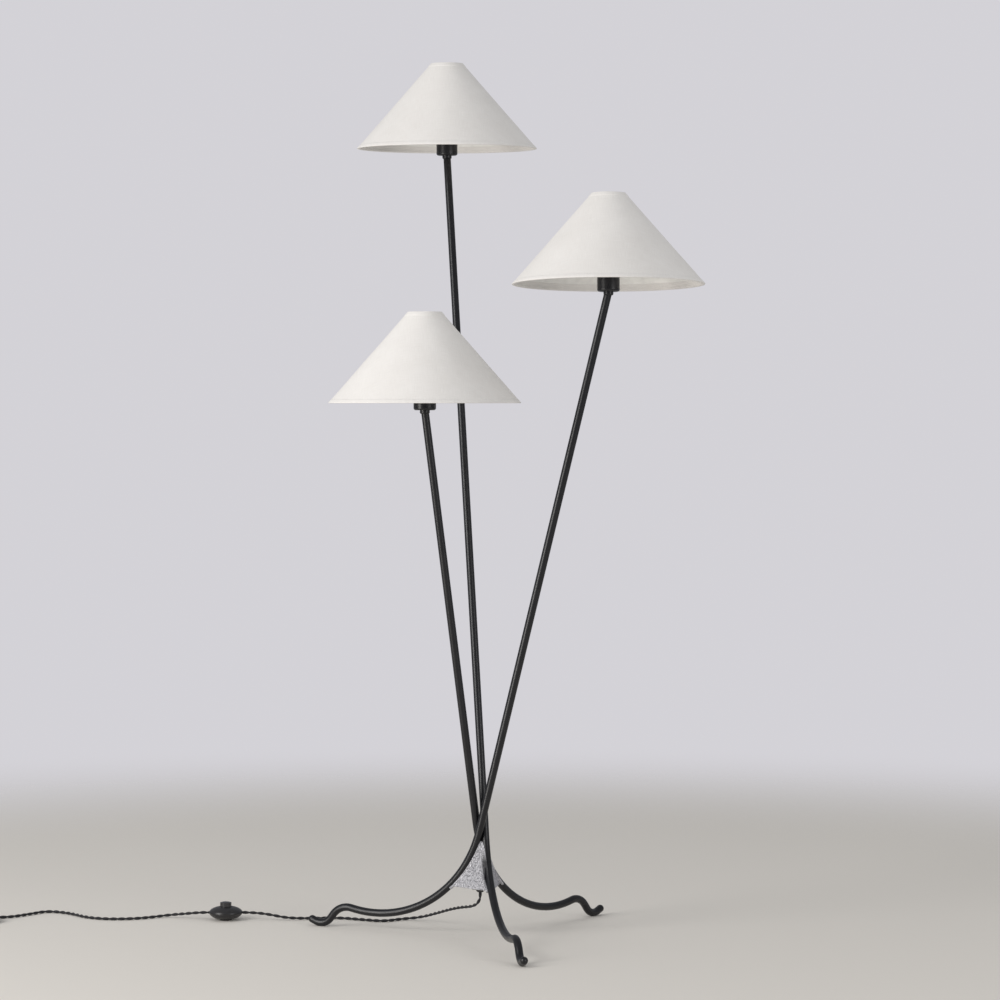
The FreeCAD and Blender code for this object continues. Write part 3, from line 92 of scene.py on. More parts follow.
def blend(tree, share, first, second):
    """From the first colour to the second by a share between 0 and 1."""
    first, second = (end if isinstance(end, bpy.types.NodeSocket) else (*end, 1) for end in (first, second))
    return place(tree, "Mix", {"data_type": "RGBA"}, in0=share, in6=first, in7=second).outputs[2]


def spread(tree, value, low, high, first=0.0, last=1.0, kind="LINEAR"):
    """A value between low and high spread between first and last."""
    return place(tree, "MapRange", {"interpolation_type": kind}, in0=value, in1=low, in2=high, in3=first,
                 in4=last).outputs[0]


def maths(tree, operation, *values):
    sockets = {f"in{number}": value for number, value in enumerate(values)}
    return place(tree, "Math", {"operation": operation}, **sockets).outputs[0]


def grains(tree, where, scale, detail, **more):
    return place(tree, "TexNoise", Vector=where, Scale=scale, Detail=detail, **more).outputs["Fac"]


rays = place(air, "LightPath").outputs
seen = maths(air, "MAXIMUM", rays["Is Camera Ray"], rays["Is Transmission Ray"])
soft_light = place(air, "Background", Color=(0.97, 0.98, 1.0, 1), Strength=0.55)
plain_wall = place(air, "Background", Color=(*BACKDROP, 1), Strength=1.0)
dim_room = place(air, "Background", Color=(0.92, 0.94, 1.0, 1), Strength=0.34)
around = place(air, "MixShader", in0=rays["Is Glossy Ray"], in1=soft_light.outputs[0],
               in2=dim_room.outputs[0])
either = place(air, "MixShader", in0=seen, in1=around.outputs[0], in2=plain_wall.outputs[0])
place(air, "OutputWorld", Surface=either.outputs[0])


def soft_lamp(name, spot, aim, size, power, colour):
    light = bpy.data.lights.new(name, "AREA")
    light.shape, light.size, light.energy, light.color = "DISK", size, power, colour
    lamp = linked(name, light)
    lamp.location = spot
    lamp.rotation_euler = (Vector(aim) - Vector(spot)).to_track_quat("-Z", "Y").to_euler()


soft_lamp("broad_light", (-3.7, -2.5, 2.6), (0, 0, 0.9), 2.4, 104, (1.0, 0.995, 0.985))
soft_lamp("low_light", (-3.0, -2.2, 0.45), (0, 0, 1.3), 1.6, 64, (1.0, 0.97, 0.93))
soft_lamp("weak_fill", (3.8, -3.4, 1.6), (0, 0, 0.8), 2.5, 72, (0.99, 0.985, 0.98))


def start_finish(name):
    """A new material, its nodes and the piece's own coordinates."""
    made = bpy.data.materials.new(name)
    made.use_nodes = True
    return made, made.node_tree, place(made.node_tree, "TexCoord").outputs["Object"]


def wire(made, colour, rough, height, strength, depth, **levels):
    """Joins a finish's colour, roughness and surface height to its shader, and sets its other levels."""
    tree = made.node_tree
    shader = tree.nodes["Principled BSDF"]
    bump = place(tree, "Bump", Strength=strength, Distance=depth, Height=height)
    for name, socket in (("Base Color", colour), ("Roughness", rough), ("Normal", bump.outputs[0])):
        tree.links.new(socket, shader.inputs[name])
    for name, level in levels.items():
        shader.inputs[name.replace("_", " ")].default_value = level
    return made


FADE_FROM, FADE_TO = 1.35, 3.4
pale, tree, where = start_finish("pale_floor")
shader = tree.nodes["Principled BSDF"]
shader.inputs["Base Color"].default_value = (0.70, 0.665, 0.615, 1)
shader.inputs["Roughness"].default_value = 0.75
far = place(tree, "VectorMath", {"operation": "LENGTH"}, in0=where).outputs["Value"]
fade = spread(tree, far, FADE_FROM, FADE_TO, kind="SMOOTHERSTEP")
gone = maths(tree, "MAXIMUM", fade, place(tree, "NewGeometry").outputs["Backfacing"])
clear = place(tree, "BsdfTransparent")
mixed = place(tree, "MixShader", in0=gone, in1=shader.outputs[0], in2=clear.outputs[0])
tree.links.new(mixed.outputs[0], tree.nodes["Material Output"].inputs["Surface"])
ground = bpy.data.meshes.new("floor")
ground.from_pydata([(x, y, 0) for x, y in ((-4, -4), (4, -4), (4, 4), (-4, 4))], [], [(0, 1, 2, 3)])
ground.materials.append(pale)
floor = linked("floor", ground)

# ------------------------------------------------------------------ cord
# A limp supply cord: two rubber-insulated wires, each in a tight black cotton braid, twisted round
# each other. It hangs from the gland, lies loose on the floor and passes through the foot switch.

# in metres: the cord across, one wire's radius, one turn of the pair, and the steps it is drawn in
CORD, STRAND, LAY = 0.0055, 0.00145, 0.030
WIRE_STEP, WIRE_SIDES = 0.0013, 10
HUB_TO_SWITCH = [
    (-0.0017, 0.0031, 0.081), (-0.0017, 0.0031, 0.0725), (-0.0038, 0.0069, 0.064),
    (-0.0095, 0.0165, 0.056), (-0.020, 0.0345, 0.0495), (-0.037, 0.064, 0.044), (-0.059, 0.102, 0.034),
    (-0.088, 0.152, 0.018), (-0.117, 0.190, 0.0052), (-0.150, 0.187, 0.003), (-0.181, 0.160, 0.003),
    (-0.222, 0.180, 0.003), (-0.266, 0.203, 0.003), (-0.318, 0.195, 0.003), (-0.362, 0.187, 0.0045),
    (-0.400, 0.192, 0.0115), (-0.432, 0.196, 0.014), (-0.4628, 0.196, 0.014)]
SWITCH_TO_COIL = [
    (-0.4932, 0.196, 0.014), (-0.522, 0.196, 0.014), (-0.551, 0.205, 0.0105), (-0.583, 0.226, 0.0048),
    (-0.613, 0.212, 0.003), (-0.648, 0.190, 0.003), (-0.700, 0.186, 0.003), (-0.741, 0.208, 0.003),
    (-0.776, 0.258, 0.003), (-0.822, 0.285, 0.003), (-0.852, 0.244, 0.003), (-0.882, 0.211, 0.003),
    (-0.911, 0.2066, 0.003), (-0.931, 0.2061, 0.003)]
COIL_MIDDLE = Vector((-0.9365, 0.165, 0.003))
COIL_RADIUS, COIL_PITCH, COIL_LIFT = 0.041, 0.0061, 0.0061
TURNS_IN, TURNS_OUT, REVERSAL = 3.5, 3.75, 0.25
POINTS_A_TURN = 16


def coil_spot(turn):
    """Where the put-away coil is after so many turns: inwards on the floor, then outwards on top."""
    past = turn - TURNS_IN
    away = abs(past) if abs(past) >= REVERSAL else (past ** 2 / REVERSAL + REVERSAL) / 2
    reach = COIL_RADIUS - COIL_PITCH * (TURNS_IN - away)
    climb = min(1, max(0, past / (2 * REVERSAL) + 0.5))
    lift = COIL_LIFT * (3 * climb ** 2 - 2 * climb ** 3)
    angle = math.pi / 2 + 2 * math.pi * turn
    return COIL_MIDDLE + Vector((reach * math.cos(angle), reach * math.sin(angle), lift))


coil = [coil_spot(number / POINTS_A_TURN)
        for number in range(int((TURNS_IN + TURNS_OUT) * POINTS_A_TURN) + 1)]
TO_PLUG = [(-0.97938, 0.14950, 0.0091), (-0.98261, 0.13951, 0.0091)]


def read_back(curve):
    """The plain mesh of a curve."""
    holder = bpy.data.objects.new("curve", curve)
    mesh = bpy.data.meshes.new_from_object(holder)
    bpy.data.objects.remove(holder)
    return mesh


def route_line(points):
    """The cord's own line: one NURBS spline with the route's points, read back as points."""
    curve = bpy.data.curves.new("route", "CURVE")
    curve.dimensions = "3D"
    curve.resolution_u = 12
    spline = curve.splines.new("NURBS")
    spline.points.add(len(points) - 1)
    for spot, point in zip(spline.points, points):
        spot.co = (*point, 1)
    spline.order_u = 3
    spline.use_endpoint_u = True
    return [corner.co.copy() for corner in read_back(curve).vertices]


def even_steps(line, step):
    """The same line in equal steps."""
    lengths = [(b - a).length for a, b in zip(line, line[1:])]
    count = max(2, round(sum(lengths) / step))
    spots, gone_by, edge = [], 0.0, 0
    for number in range(count + 1):
        want = min(sum(lengths) * number / count, sum(lengths) * 0.999999)
        while gone_by + lengths[edge] < want:
            gone_by += lengths[edge]
            edge += 1
        spots.append(line[edge].lerp(line[edge + 1], (want - gone_by) / lengths[edge]))
    return spots


def frames_along(line):
    """A side direction at every point of a line, carried along without twisting, and the way on."""
    ways = [(line[min(i + 1, len(line) - 1)] - line[max(i - 1, 0)]).normalized() for i in range(len(line))]
    side = ways[0].orthogonal().normalized()
    sides = []
    for way in ways:
        side = (side - way * side.dot(way)).normalized()
        sides.append((side, way.cross(side)))
    return sides, ways


def wrap_rings(mesh_data, rings, along, apart):
    """Adds a skin round a row of rings, its ends closed, with its own map along and around."""
    verts, faces, maps = mesh_data
    first, around = len(verts), len(rings[0])
    for ring in rings:
        verts.extend(ring)
    for row in range(len(rings) - 1):
        low, high = first + row * around, first + (row + 1) * around
        u0, u1 = along[row], along[row + 1]
        for step in range(around):
            follow = (step + 1) % around
            faces.append((low + step, low + follow, high + follow, high + step))
            v0, v1 = apart * step, apart * (step + 1)
            maps.append(((u0, v0), (u0, v1), (u1, v1), (u1, v0)))
    for base, order in ((first, -1), (first + (len(rings) - 1) * around, 1)):
        faces.append(tuple(base + step for step in range(around))[::order])
        maps.append(((0.0, 0.0),) * around)


def outward(mesh):
    """Turns a mesh's faces outwards."""
    shape = bmesh.new()
    shape.from_mesh(mesh)
    bmesh.ops.recalc_face_normals(shape, faces=shape.faces)
    shape.to_mesh(mesh)
    shape.free()


def mesh_from(name, shape):
    """The mesh of a worked shape, which is let go."""
    mesh = bpy.data.meshes.new(name)
    shape.to_mesh(mesh)
    shape.free()
    return mesh


def finish(mesh, *finishes):
    """Soft shading, and these finishes in place of any that the mesh had."""
    mesh.materials.clear()
    for made in finishes:
        mesh.materials.append(made)
    mesh.polygons.foreach_set("use_smooth", [True] * len(mesh.polygons))


def mesh_of(name, mesh_data, *finishes):
    """A mesh from points, faces and each face's own map."""
    verts, faces, maps = mesh_data
    mesh = bpy.data.meshes.new(name)
    mesh.from_pydata([tuple(v) for v in verts], [], faces)
    layer = mesh.uv_layers.new(name="UVMap")
    for loop, corner in zip(layer.data, (corner for face in maps for corner in face)):
        loop.uv = corner
    finish(mesh, *finishes)
    return mesh


def shown(name, mesh, slot, *stands_for):
    """A piece of the lamp that stands in for packed ones."""
    made = linked(name, mesh)
    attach(made, "root")
    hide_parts(*stands_for)
    return made


def turns_of(count):
    """Equal turns all the way round."""
    return [2 * math.pi * part / count for part in range(count)]


def twisted_pair(name, points, *stands_for):
    """Two braided wires laid round each other along the route, and the route's own line."""
    line = even_steps(route_line(points), WIRE_STEP)
    sides, ways = frames_along(line)
    step = (line[1] - line[0]).length
    along = [number * step for number in range(len(line))]
    data = ([], [], [])
    for start in (0, math.pi):
        rings = []
        for number, (spot, (side, across), way) in enumerate(zip(line, sides, ways)):
            angle = start + 2 * math.pi * number * step / LAY
            out = side * math.cos(angle) + across * math.sin(angle)
            turned_to = way.cross(out)
            middle = spot + out * STRAND
            lean = way * STRAND * 2 * math.pi / LAY
            ring = []
            for angle in turns_of(WIRE_SIDES):
                edge = out * math.cos(angle) + turned_to * math.sin(angle) - lean * math.sin(angle)
                ring.append(middle + edge * STRAND)
            rings.append(ring)
        wrap_rings(data, rings, along, 2 * math.pi * STRAND / WIRE_SIDES)
    return shown(name, mesh_of(name, data, braid), "cord_cloth", *stands_for), line


def cotton_braid():
    """Flat black cotton yarns crossing on the slant, matt with a soft fuzz."""
    made, tree, where = start_finish("black_cotton_braid")
    chart = place(tree, "UVMap", {"uv_map": "UVMap"}).outputs[0]
    yarns = []
    for slant in (35, -35):
        turned_chart = place(tree, "Mapping", in0=chart, Rotation=(0, 0, math.radians(slant))).outputs[0]
        yarns.append(place(tree, "TexWave", {"bands_direction": "Y"}, Vector=turned_chart, Scale=310.0,
                           Distortion=0.6, Detail=1.0).outputs["Fac"])
    weave = maths(tree, "MAXIMUM", *yarns)
    fuzz = grains(tree, where, 2600.0, 2.0)
    colour = blend(tree, spread(tree, weave, 0.2, 1.0), (0.008, 0.008, 0.009), (0.030, 0.029, 0.032))
    rough = spread(tree, fuzz, 0.0, 1.0, 0.75, 0.95)
    lumps = maths(tree, "MULTIPLY_ADD", fuzz, 0.4, weave)
    return wire(made, colour, rough, lumps, 0.55, 0.0004, Specular_IOR_Level=0.25, Sheen_Weight=0.08)


braid = cotton_braid()
first_run, first_line = twisted_pair("cord_to_switch", HUB_TO_SWITCH, "cord_hub_to_switch")
second_run, second_line = twisted_pair("cord_to_plug", SWITCH_TO_COIL + coil + TO_PLUG,
                                       "cord_switch_to_coil", "cord_coil", "cord_coil_to_plug")

# ------------------------------------------------------------------ tubes
# Three round steel tubes, 14 mm across, each bent at its foot end and screwed to a straight upper tube.
# Their satin black powder coat has a fine orange peel. They lie in three upright planes.

# in metres: the tube's radius, the big bend's with its middle's reach and height, those of the hump and
# the foot, the straight tip, the slopes between them and the height of the foot bend's middle, then the
# ends' chamfer, half the seam's gap and how far below its cup a tube ends
TUBE = 0.007
SWEEP, SWEEP_REACH, SWEEP_TOP = 0.215, 0.208, 0.2465
HUMP, FOOT, TIP = 0.036, 0.025, 0.009
RISE, DROP, CURL = math.radians(13.4), math.radians(52), math.radians(23)
FOOT_TOP = 0.0317
CHAMFER, SEAM_GAP, BELOW_CUP = 0.0007, 0.00025, 0.0046
BEND_STEP = math.radians(2.5)
#            heading, lean, distance beside the middle, seam height, cup height
RODS = {"tall": (-78.4, 16.5, 0.007315, 0.7045, 1.434),
        "low": (47.4, 10.15, 0.008969, 0.5215, 0.9535),
        "mid": (155.9, 14.5, 0.008859, 0.6355, 1.163)}


def powder_coat():
    """Satin black powder coat over iron: fine orange peel, a few duller and bluer patches."""
    made, tree, where = start_finish("satin_black_powder_coat")
    patches = grains(tree, where, 42.0, 3.0)
    peel = grains(tree, where, 620.0, 1.5)
    specks = grains(tree, where, 2400.0, 1.0)
    colour = blend(tree, patches, (0.004, 0.004, 0.005), (0.009, 0.009, 0.011))
    rough = spread(tree, maths(tree, "MULTIPLY_ADD", specks, 0.5, patches), 0.3, 1.2, 0.25, 0.40)
    skin = maths(tree, "MULTIPLY_ADD", specks, 0.25, peel)
    return wire(made, colour, rough, skin, 0.5, 0.00022, Specular_IOR_Level=0.40)


def node_group(name, **inputs):
    """A geometry node group with named inputs of (kind, value), and its inputs' sockets."""
    tree = bpy.data.node_groups.new(name, "GeometryNodeTree")
    face = tree.interface
    face.new_socket("Geometry", in_out="INPUT", socket_type="NodeSocketGeometry")
    for key, (kind, value) in inputs.items():
        socket = face.new_socket(key, in_out="INPUT", socket_type="NodeSocket" + kind)
        if value is not None:
            socket.default_value = value
    face.new_socket("Geometry", in_out="OUTPUT", socket_type="NodeSocketGeometry")
    return tree, place(tree, "NodeGroupInput").outputs


def hand_out(tree, geometry, coating):
    """A group's last steps: its geometry made real and given its finish."""
    whole = place(tree, "GeometryNodeRealizeInstances", Geometry=geometry)
    coated = place(tree, "GeometryNodeSetMaterial", Geometry=whole.outputs[0], Material=coating)
    place(tree, "NodeGroupOutput", Geometry=coated.outputs[0])
    return tree


def round_section_tree():
    """Geometry nodes that lay a round bar along a line of edges. The line's girth thins its ends."""
    tree, given = node_group("round_bar_along_line", Radius=("Float", 0.007), Sides=("Int", 40),
                             Finish=("Material", None))
    line = place(tree, "GeometryNodeMeshToCurve", Mesh=given["Geometry"])
    girth = place(tree, "GeometryNodeInputNamedAttribute", Name="girth")
    thick = place(tree, "GeometryNodeSetCurveRadius", Curve=line.outputs[0], Radius=girth.outputs[0])
    ring = place(tree, "GeometryNodeCurvePrimitiveCircle", Radius=given["Radius"], Resolution=given["Sides"])
    bar = place(tree, "GeometryNodeCurveToMesh", Curve=thick.outputs[0], Profile_Curve=ring.outputs[0],
                Fill_Caps=True)
    soft = place(tree, "GeometryNodeSetShadeSmooth", Geometry=bar.outputs[0])
    return hand_out(tree, soft.outputs[0], given["Finish"])


def baked(holder, *spares):
    """The mesh that an object's modifiers make. The object and its spares go."""
    made = bpy.data.meshes.new_from_object(holder.evaluated_get(bpy.context.evaluated_depsgraph_get()))
    for spare in (holder, *spares):
        bpy.data.objects.remove(spare)
    return made


def grown(name, mesh, tree, **inputs):
    """The plain mesh that a geometry node tree makes of a mesh."""
    holder = linked(name + "_source", mesh)
    modifier = holder.modifiers.new("grow", "NODES")
    modifier.node_group = tree
    for item in tree.interface.items_tree:
        if item.in_out == "INPUT" and item.name in inputs:
            modifier[item.identifier] = inputs[item.name]
    made = baked(holder)
    outward(made)
    made.name = name
    return made


def line_mesh(line):
    """Edges along a line of (point, girth)."""
    mesh = bpy.data.meshes.new("line")
    mesh.from_pydata([tuple(spot) for spot, _ in line], [(i, i + 1) for i in range(len(line) - 1)], [])
    mesh.attributes.new("girth", "FLOAT", "POINT").data.foreach_set("value", [girth for _, girth in line])
    return mesh


def in_plane(rod, x, z):
    """A point of a tube's own upright plane, in the lamp's frame."""
    heading, aside = math.radians(RODS[rod][0]), RODS[rod][2]
    return Vector((x * math.cos(heading) - aside * math.sin(heading),
                   x * math.sin(heading) + aside * math.cos(heading), z))


def bend_points(cx, cz, radius, first, last):
    """Points of a bend whose slope goes from first to last. A negative radius bends downwards."""
    count = max(4, math.ceil(abs(last - first) / BEND_STEP))
    return [(cx + radius * math.sin(slope), cz - radius * math.cos(slope))
            for slope in (first + (last - first) * i / count for i in range(count + 1))]


def lower_run(rod):
    """The tube's centre line from its seam to its tip."""
    lean, seam = math.radians(RODS[rod][1]), RODS[rod][3]
    run = bend_points(SWEEP_REACH, SWEEP_TOP, SWEEP, lean - math.pi / 2, RISE)
    x, z = run[0]
    run.insert(0, (x - (seam - z) * math.tan(lean), seam))
    x, z = run[-1]
    run += bend_points(x + HUMP * math.sin(RISE), z - HUMP * math.cos(RISE), -HUMP, RISE, -DROP)[1:]
    x, z = run[-1]
    fall = (z + FOOT * math.cos(DROP) - FOOT_TOP) / math.sin(DROP)
    x, z = x + fall * math.cos(DROP), z - fall * math.sin(DROP)
    run += bend_points(x + FOOT * math.sin(DROP), z + FOOT * math.cos(DROP), FOOT, -DROP, CURL)
    x, z = run[-1]
    run.append((x + TIP * math.cos(CURL), z + TIP * math.sin(CURL)))
    return [in_plane(rod, x, z) for x, z in run]


def eased(line):
    """A line with both ends' edges broken by a small chamfer."""
    first, last = (line[1] - line[0]).normalized(), (line[-2] - line[-1]).normalized()
    thin = 1 - CHAMFER / TUBE
    return [(line[0], thin), (line[0] + first * CHAMFER, 1), *((spot, 1) for spot in line[1:-1]),
            (line[-1] + last * CHAMFER, 1), (line[-1], thin)]


coat = powder_coat()
bar_tree = round_section_tree()
for rod, (_, lean, _, seam, cup) in RODS.items():
    run = lower_run(rod)
    mesh = grown(rod + "_lower_tube", line_mesh(eased(run)), bar_tree, Radius=TUBE, Finish=coat)
    for corner in mesh.vertices:
        corner.co.z = max(0.0, corner.co.z)
    shown(rod + "_lower_rod", mesh, "black_iron", rod + "_lower_tube")
    way = (run[0] - run[1]).normalized()
    top = run[0] + way * ((cup - seam) / math.cos(math.radians(lean)) - BELOW_CUP)
    upper = line_mesh(eased([run[0] + way * SEAM_GAP, run[0].lerp(top, 0.5), top]))
    mesh = grown(rod + "_upper_tube", upper, bar_tree, Radius=TUBE, Finish=coat)
    shown(rod + "_upper_rod", mesh, "black_iron", rod + "_upper_tube")


def dress(made, *names):
    """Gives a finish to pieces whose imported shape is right."""
    for name in names:
        for slot in nodes[name].material_slots:
            slot.material = made


def ground_metal(name, colour, roughness, stretch=(1, 1, 1)):
    """Bare or plated metal: fine marks left by the tool, uneven shine, faint stains."""
    made, tree, where = start_finish(name)
    marks = grains(tree, place(tree, "Mapping", in0=where, Scale=stretch).outputs[0], 900.0, 3.0)
    tone = blend(tree, grains(tree, where, 140.0, 2.0), [0.72 * part for part in colour], colour)
    rough = spread(tree, marks, 0.3, 0.7, roughness * 0.75, min(1.0, roughness * 1.35))
    return wire(made, tone, rough, marks, 0.25, 0.0001, Metallic=1.0)


zinc = ground_metal("zinc_plated_steel", (0.60, 0.60, 0.61), 0.36, stretch=(1, 1, 6))
dress(coat, "foot_caps", "hub_base_cover")
dress(zinc, "tube_couplers", "cover_lugs", "gland_nut", "socket_nipples", "socket_locknuts")

# ------------------------------------------------------------------ hub
# Three steel plates close a small pyramid between the legs. Each is welded along both tubes with the
# bead dressed to a soft fillet, and the plates keep a coarse, hammered sand-cast skin in bare grey.
# The skin's lump tops carry painted highlights, and painted shade darkens it beside the front leg.

HUB_FLOOR, HUB_TOP = 0.090, 0.1755
HUB_SIDES = {"left": ("mid", "tall"), "right": ("tall", "low"), "back": ("low", "mid")}
# in metres: the weld bead's radius, how far off the tube it lies, and where it starts and stops; how far
# below its tip a plate is measured, and the cells its skin is fused from
BEAD, BEAD_OFF, BEAD_START, BEAD_SHORT = 0.0027, 0.0006, 0.0012, 0.004
BEAD_STEPS, BEAD_SIDES, BEAD_UNEVEN = 24, 14, 0.12
PLATE_SHORT, SKIN_CELL = 0.002, 0.0008
# the cast skin's coarse and fine lumps, as (height in metres, lumps a metre)
(COARSE, COARSE_SCALE), (FINE, FINE_SCALE) = (0.00022, 300), (0.00012, 760)
# painted shade on the casting beside the front leg: from and to this far off the leg's middle line, at most
# this share of it, and fading in and out between these heights
PAINTED_SHADE_OFF, PAINTED_SHADE_MOST = (0.0085, 0.0132), 0.94
PAINTED_SHADE_IN, PAINTED_SHADE_OUT = (0.096, 0.112), (0.140, 0.156)


def leg_spot(rod, z):
    """The tube's centre line at a height within its big bend."""
    return in_plane(rod, SWEEP_REACH - math.sqrt(SWEEP ** 2 - (SWEEP_TOP - z) ** 2), z)


def painted_front_leg_shade(tree, where):
    """How much painted shade darkens the casting beside the front leg."""
    heading, _, aside = RODS["tall"][:3]
    turned = place(tree, "VectorRotate", {"rotation_type": "Z_AXIS"}, Vector=where,
                   Angle=-math.radians(heading))
    apart = place(tree, "SeparateXYZ", Vector=turned.outputs[0]).outputs
    flat = place(tree, "CombineXYZ", X=apart[0], Z=apart[2])
    reach = place(tree, "VectorMath", {"operation": "DISTANCE"}, in0=flat.outputs[0],
                  in1=(SWEEP_REACH, 0, SWEEP_TOP)).outputs["Value"]
    off_line = place(tree, "CombineXYZ", X=maths(tree, "SUBTRACT", reach, SWEEP),
                     Y=maths(tree, "SUBTRACT", apart[1], aside))
    off_line = place(tree, "VectorMath", {"operation": "LENGTH"}, in0=off_line.outputs[0]).outputs["Value"]
    beside = spread(tree, off_line, *PAINTED_SHADE_OFF, PAINTED_SHADE_MOST, 0.0, "SMOOTHSTEP")
    above = maths(tree, "MULTIPLY", beside, spread(tree, apart[2], *PAINTED_SHADE_IN))
    return maths(tree, "MULTIPLY", above, spread(tree, apart[2], *PAINTED_SHADE_OUT, 1.0, 0.0))


def sand_cast():
    """Bare grey casting skin: darker between its lumps, lighter on their tops as wear and as painted
    highlight, a slight metal sheen, and painted shade beside the front leg.
    """
    made, tree, where = start_finish("hammered_grey_casting")
    lumps = grains(tree, where, 430.0, 3.5, Roughness=0.65)
    pits = place(tree, "TexVoronoi", Vector=where, Scale=420.0).outputs["Distance"]
    clouds = grains(tree, where, 60.0, 2.0)
    # lighter on the lumps' tops and darker between them: partly wear, partly a painted highlight of light
    # caught by the rough skin
    tone = blend(tree, spread(tree, lumps, 0.40, 0.60), (0.125, 0.125, 0.137), (0.56, 0.555, 0.585))
    tone = blend(tree, spread(tree, clouds, 0.3, 0.7, 0.0, 0.35), tone, (0.25, 0.25, 0.265))
    # painted shade: the casting goes near black beside the front leg, in the crease where it meets the tube
    tone = blend(tree, painted_front_leg_shade(tree, where), tone, (0.012, 0.012, 0.014))
    rough = spread(tree, lumps, 0.3, 0.7, 0.62, 0.42)
    height = maths(tree, "MULTIPLY_ADD", pits, 0.35, lumps)
    return wire(made, tone, rough, height, 0.8, 0.0009, Metallic=0.35)


casting = sand_cast()
for side, pair in HUB_SIDES.items():
    plate = bmesh.new()
    plate.from_mesh(nodes["hub_plate_" + side].data)
    bmesh.ops.remove_doubles(plate, verts=plate.verts, dist=1e-6)
    low = [leg_spot(rod, HUB_FLOOR) for rod in pair]
    high = [leg_spot(rod, HUB_TOP - PLATE_SHORT) for rod in pair]
    normal = (low[1] - low[0]).cross((high[0] + high[1]) / 2 - low[0]).normalized()
    middle = sum(low + high, Vector()) / 4
    for rod in pair:
        bead = []
        for number in range(BEAD_STEPS + 1):
            z = HUB_FLOOR + BEAD_START + (HUB_TOP - BEAD_SHORT - HUB_FLOOR) * number / BEAD_STEPS
            spot = leg_spot(rod, z)
            way = (leg_spot(rod, z + 0.001) - leg_spot(rod, z - 0.001)).normalized()
            inward = (middle - spot) - normal * (middle - spot).dot(normal)
            inward = (inward - way * inward.dot(way)).normalized()
            level = normal * (low[0] - spot).dot(normal)
            thick = 1 + BEAD_UNEVEN * noise.noise(spot * 160)
            bead.append((spot + level + inward * (TUBE + BEAD_OFF), thick))
        # both ends of the bead run on a little and thin out
        ends = [(bead[0][0] - (bead[1][0] - bead[0][0]) * 0.2, 0.5), *bead,
                (bead[-1][0] + (bead[-1][0] - bead[-2][0]) * 0.3, 0.4)]
        weld = grown("bead", line_mesh(ends), bar_tree, Radius=BEAD, Sides=BEAD_SIDES, Finish=casting)
        plate.from_mesh(weld)
    solid = linked("plate", mesh_from("plate", plate))
    fused = solid.modifiers.new("fused", "REMESH")
    fused.mode, fused.voxel_size = "VOXEL", SKIN_CELL
    smoothed = solid.modifiers.new("eased", "SMOOTH")
    smoothed.factor, smoothed.iterations = 0.5, 5
    made = baked(solid)
    normals = [corner.normal.copy() for corner in made.vertices]
    for corner, out in zip(made.vertices, normals):
        lump = COARSE * noise.noise(corner.co * COARSE_SCALE) + FINE * noise.noise(corner.co * FINE_SCALE)
        corner.co += out * lump
    finish(made, casting)
    shown(f"hub_{side}_casting", made, "hub_grey", "hub_plate_" + side)

# ------------------------------------------------------------------ cover screws, gland and inner works
# Three pan-head screws with a cross recess hold the base cover. A black nylon gland grips the cord.
# Behind them are a ceramic-like terminal block and the white lamp leads, seen only when it is open.

# shares of the head's radius and height, from its crown to its seat, and the corners of the recess
DOME = [(0.35, 1.0), (0.62, 0.93), (0.86, 0.72), (1.0, 0.36), (1.0, 0.0)]
CROSS = [(1, .22), (.22, .22), (.22, 1), (-.22, 1), (-.22, .22), (-1, .22), (-1, -.22), (-.22, -.22),
         (-.22, -1), (.22, -1), (.22, -.22), (1, -.22)]
HEAD_SIDES = 40
COVER_SCREWS = [(-0.01386, -0.01439, 0.090), (0.01837, -0.00242, 0.090), (-0.00926, 0.02543, 0.090)]


def screw_head(radius, height, recess):
    """A domed head that looks down, with a cross cut in its middle."""
    head = bmesh.new()
    rows = [[head.verts.new((radius * out * math.cos(turn), radius * out * math.sin(turn), -deep * height))
             for turn in turns_of(HEAD_SIDES)] for out, deep in DOME]
    for low_row, high_row in zip(rows, rows[1:]):
        for i in range(HEAD_SIDES):
            follow = (i + 1) % HEAD_SIDES
            head.faces.new((low_row[i], low_row[follow], high_row[follow], high_row[i]))
    head.faces.new(rows[-1])
    inner, bottom = [], []
    for x, y in CROSS:
        inner.append(head.verts.new((x * recess, y * recess, -height)))
        bottom.append(head.verts.new((x * recess * 0.75, y * recess * 0.75, -height * 0.45)))
    edges = []
    for i in range(len(CROSS)):
        follow = (i + 1) % len(CROSS)
        head.faces.new((inner[i], inner[follow], bottom[follow], bottom[i]))
        edges.append(head.edges.get((inner[i], inner[follow])))
    head.faces.new(bottom)
    edges += [head.edges.get((rows[0][i], rows[0][(i + 1) % HEAD_SIDES])) for i in range(HEAD_SIDES)]
    bmesh.ops.triangle_fill(head, edges=edges, use_beauty=True)
    bmesh.ops.recalc_face_normals(head, faces=head.faces)
    return head


def repeated_tree():
    """Geometry nodes that set one part on every point of a mesh, turned a little at random."""
    tree, given = node_group("one_part_on_every_point", Part=("Object", None), Turn=("Float", 3.1),
                             Seed=("Int", 4), Finish=("Material", None))
    part = place(tree, "GeometryNodeObjectInfo", Object=given["Part"])
    chance = place(tree, "FunctionNodeRandomValue", in3=given["Turn"], Seed=given["Seed"])
    turned = place(tree, "CombineXYZ", Z=chance.outputs[1])
    each = place(tree, "GeometryNodeInstanceOnPoints", Points=given["Geometry"],
                 Instance=part.outputs["Geometry"], Rotation=turned.outputs[0])
    return hand_out(tree, each.outputs[0], given["Finish"])


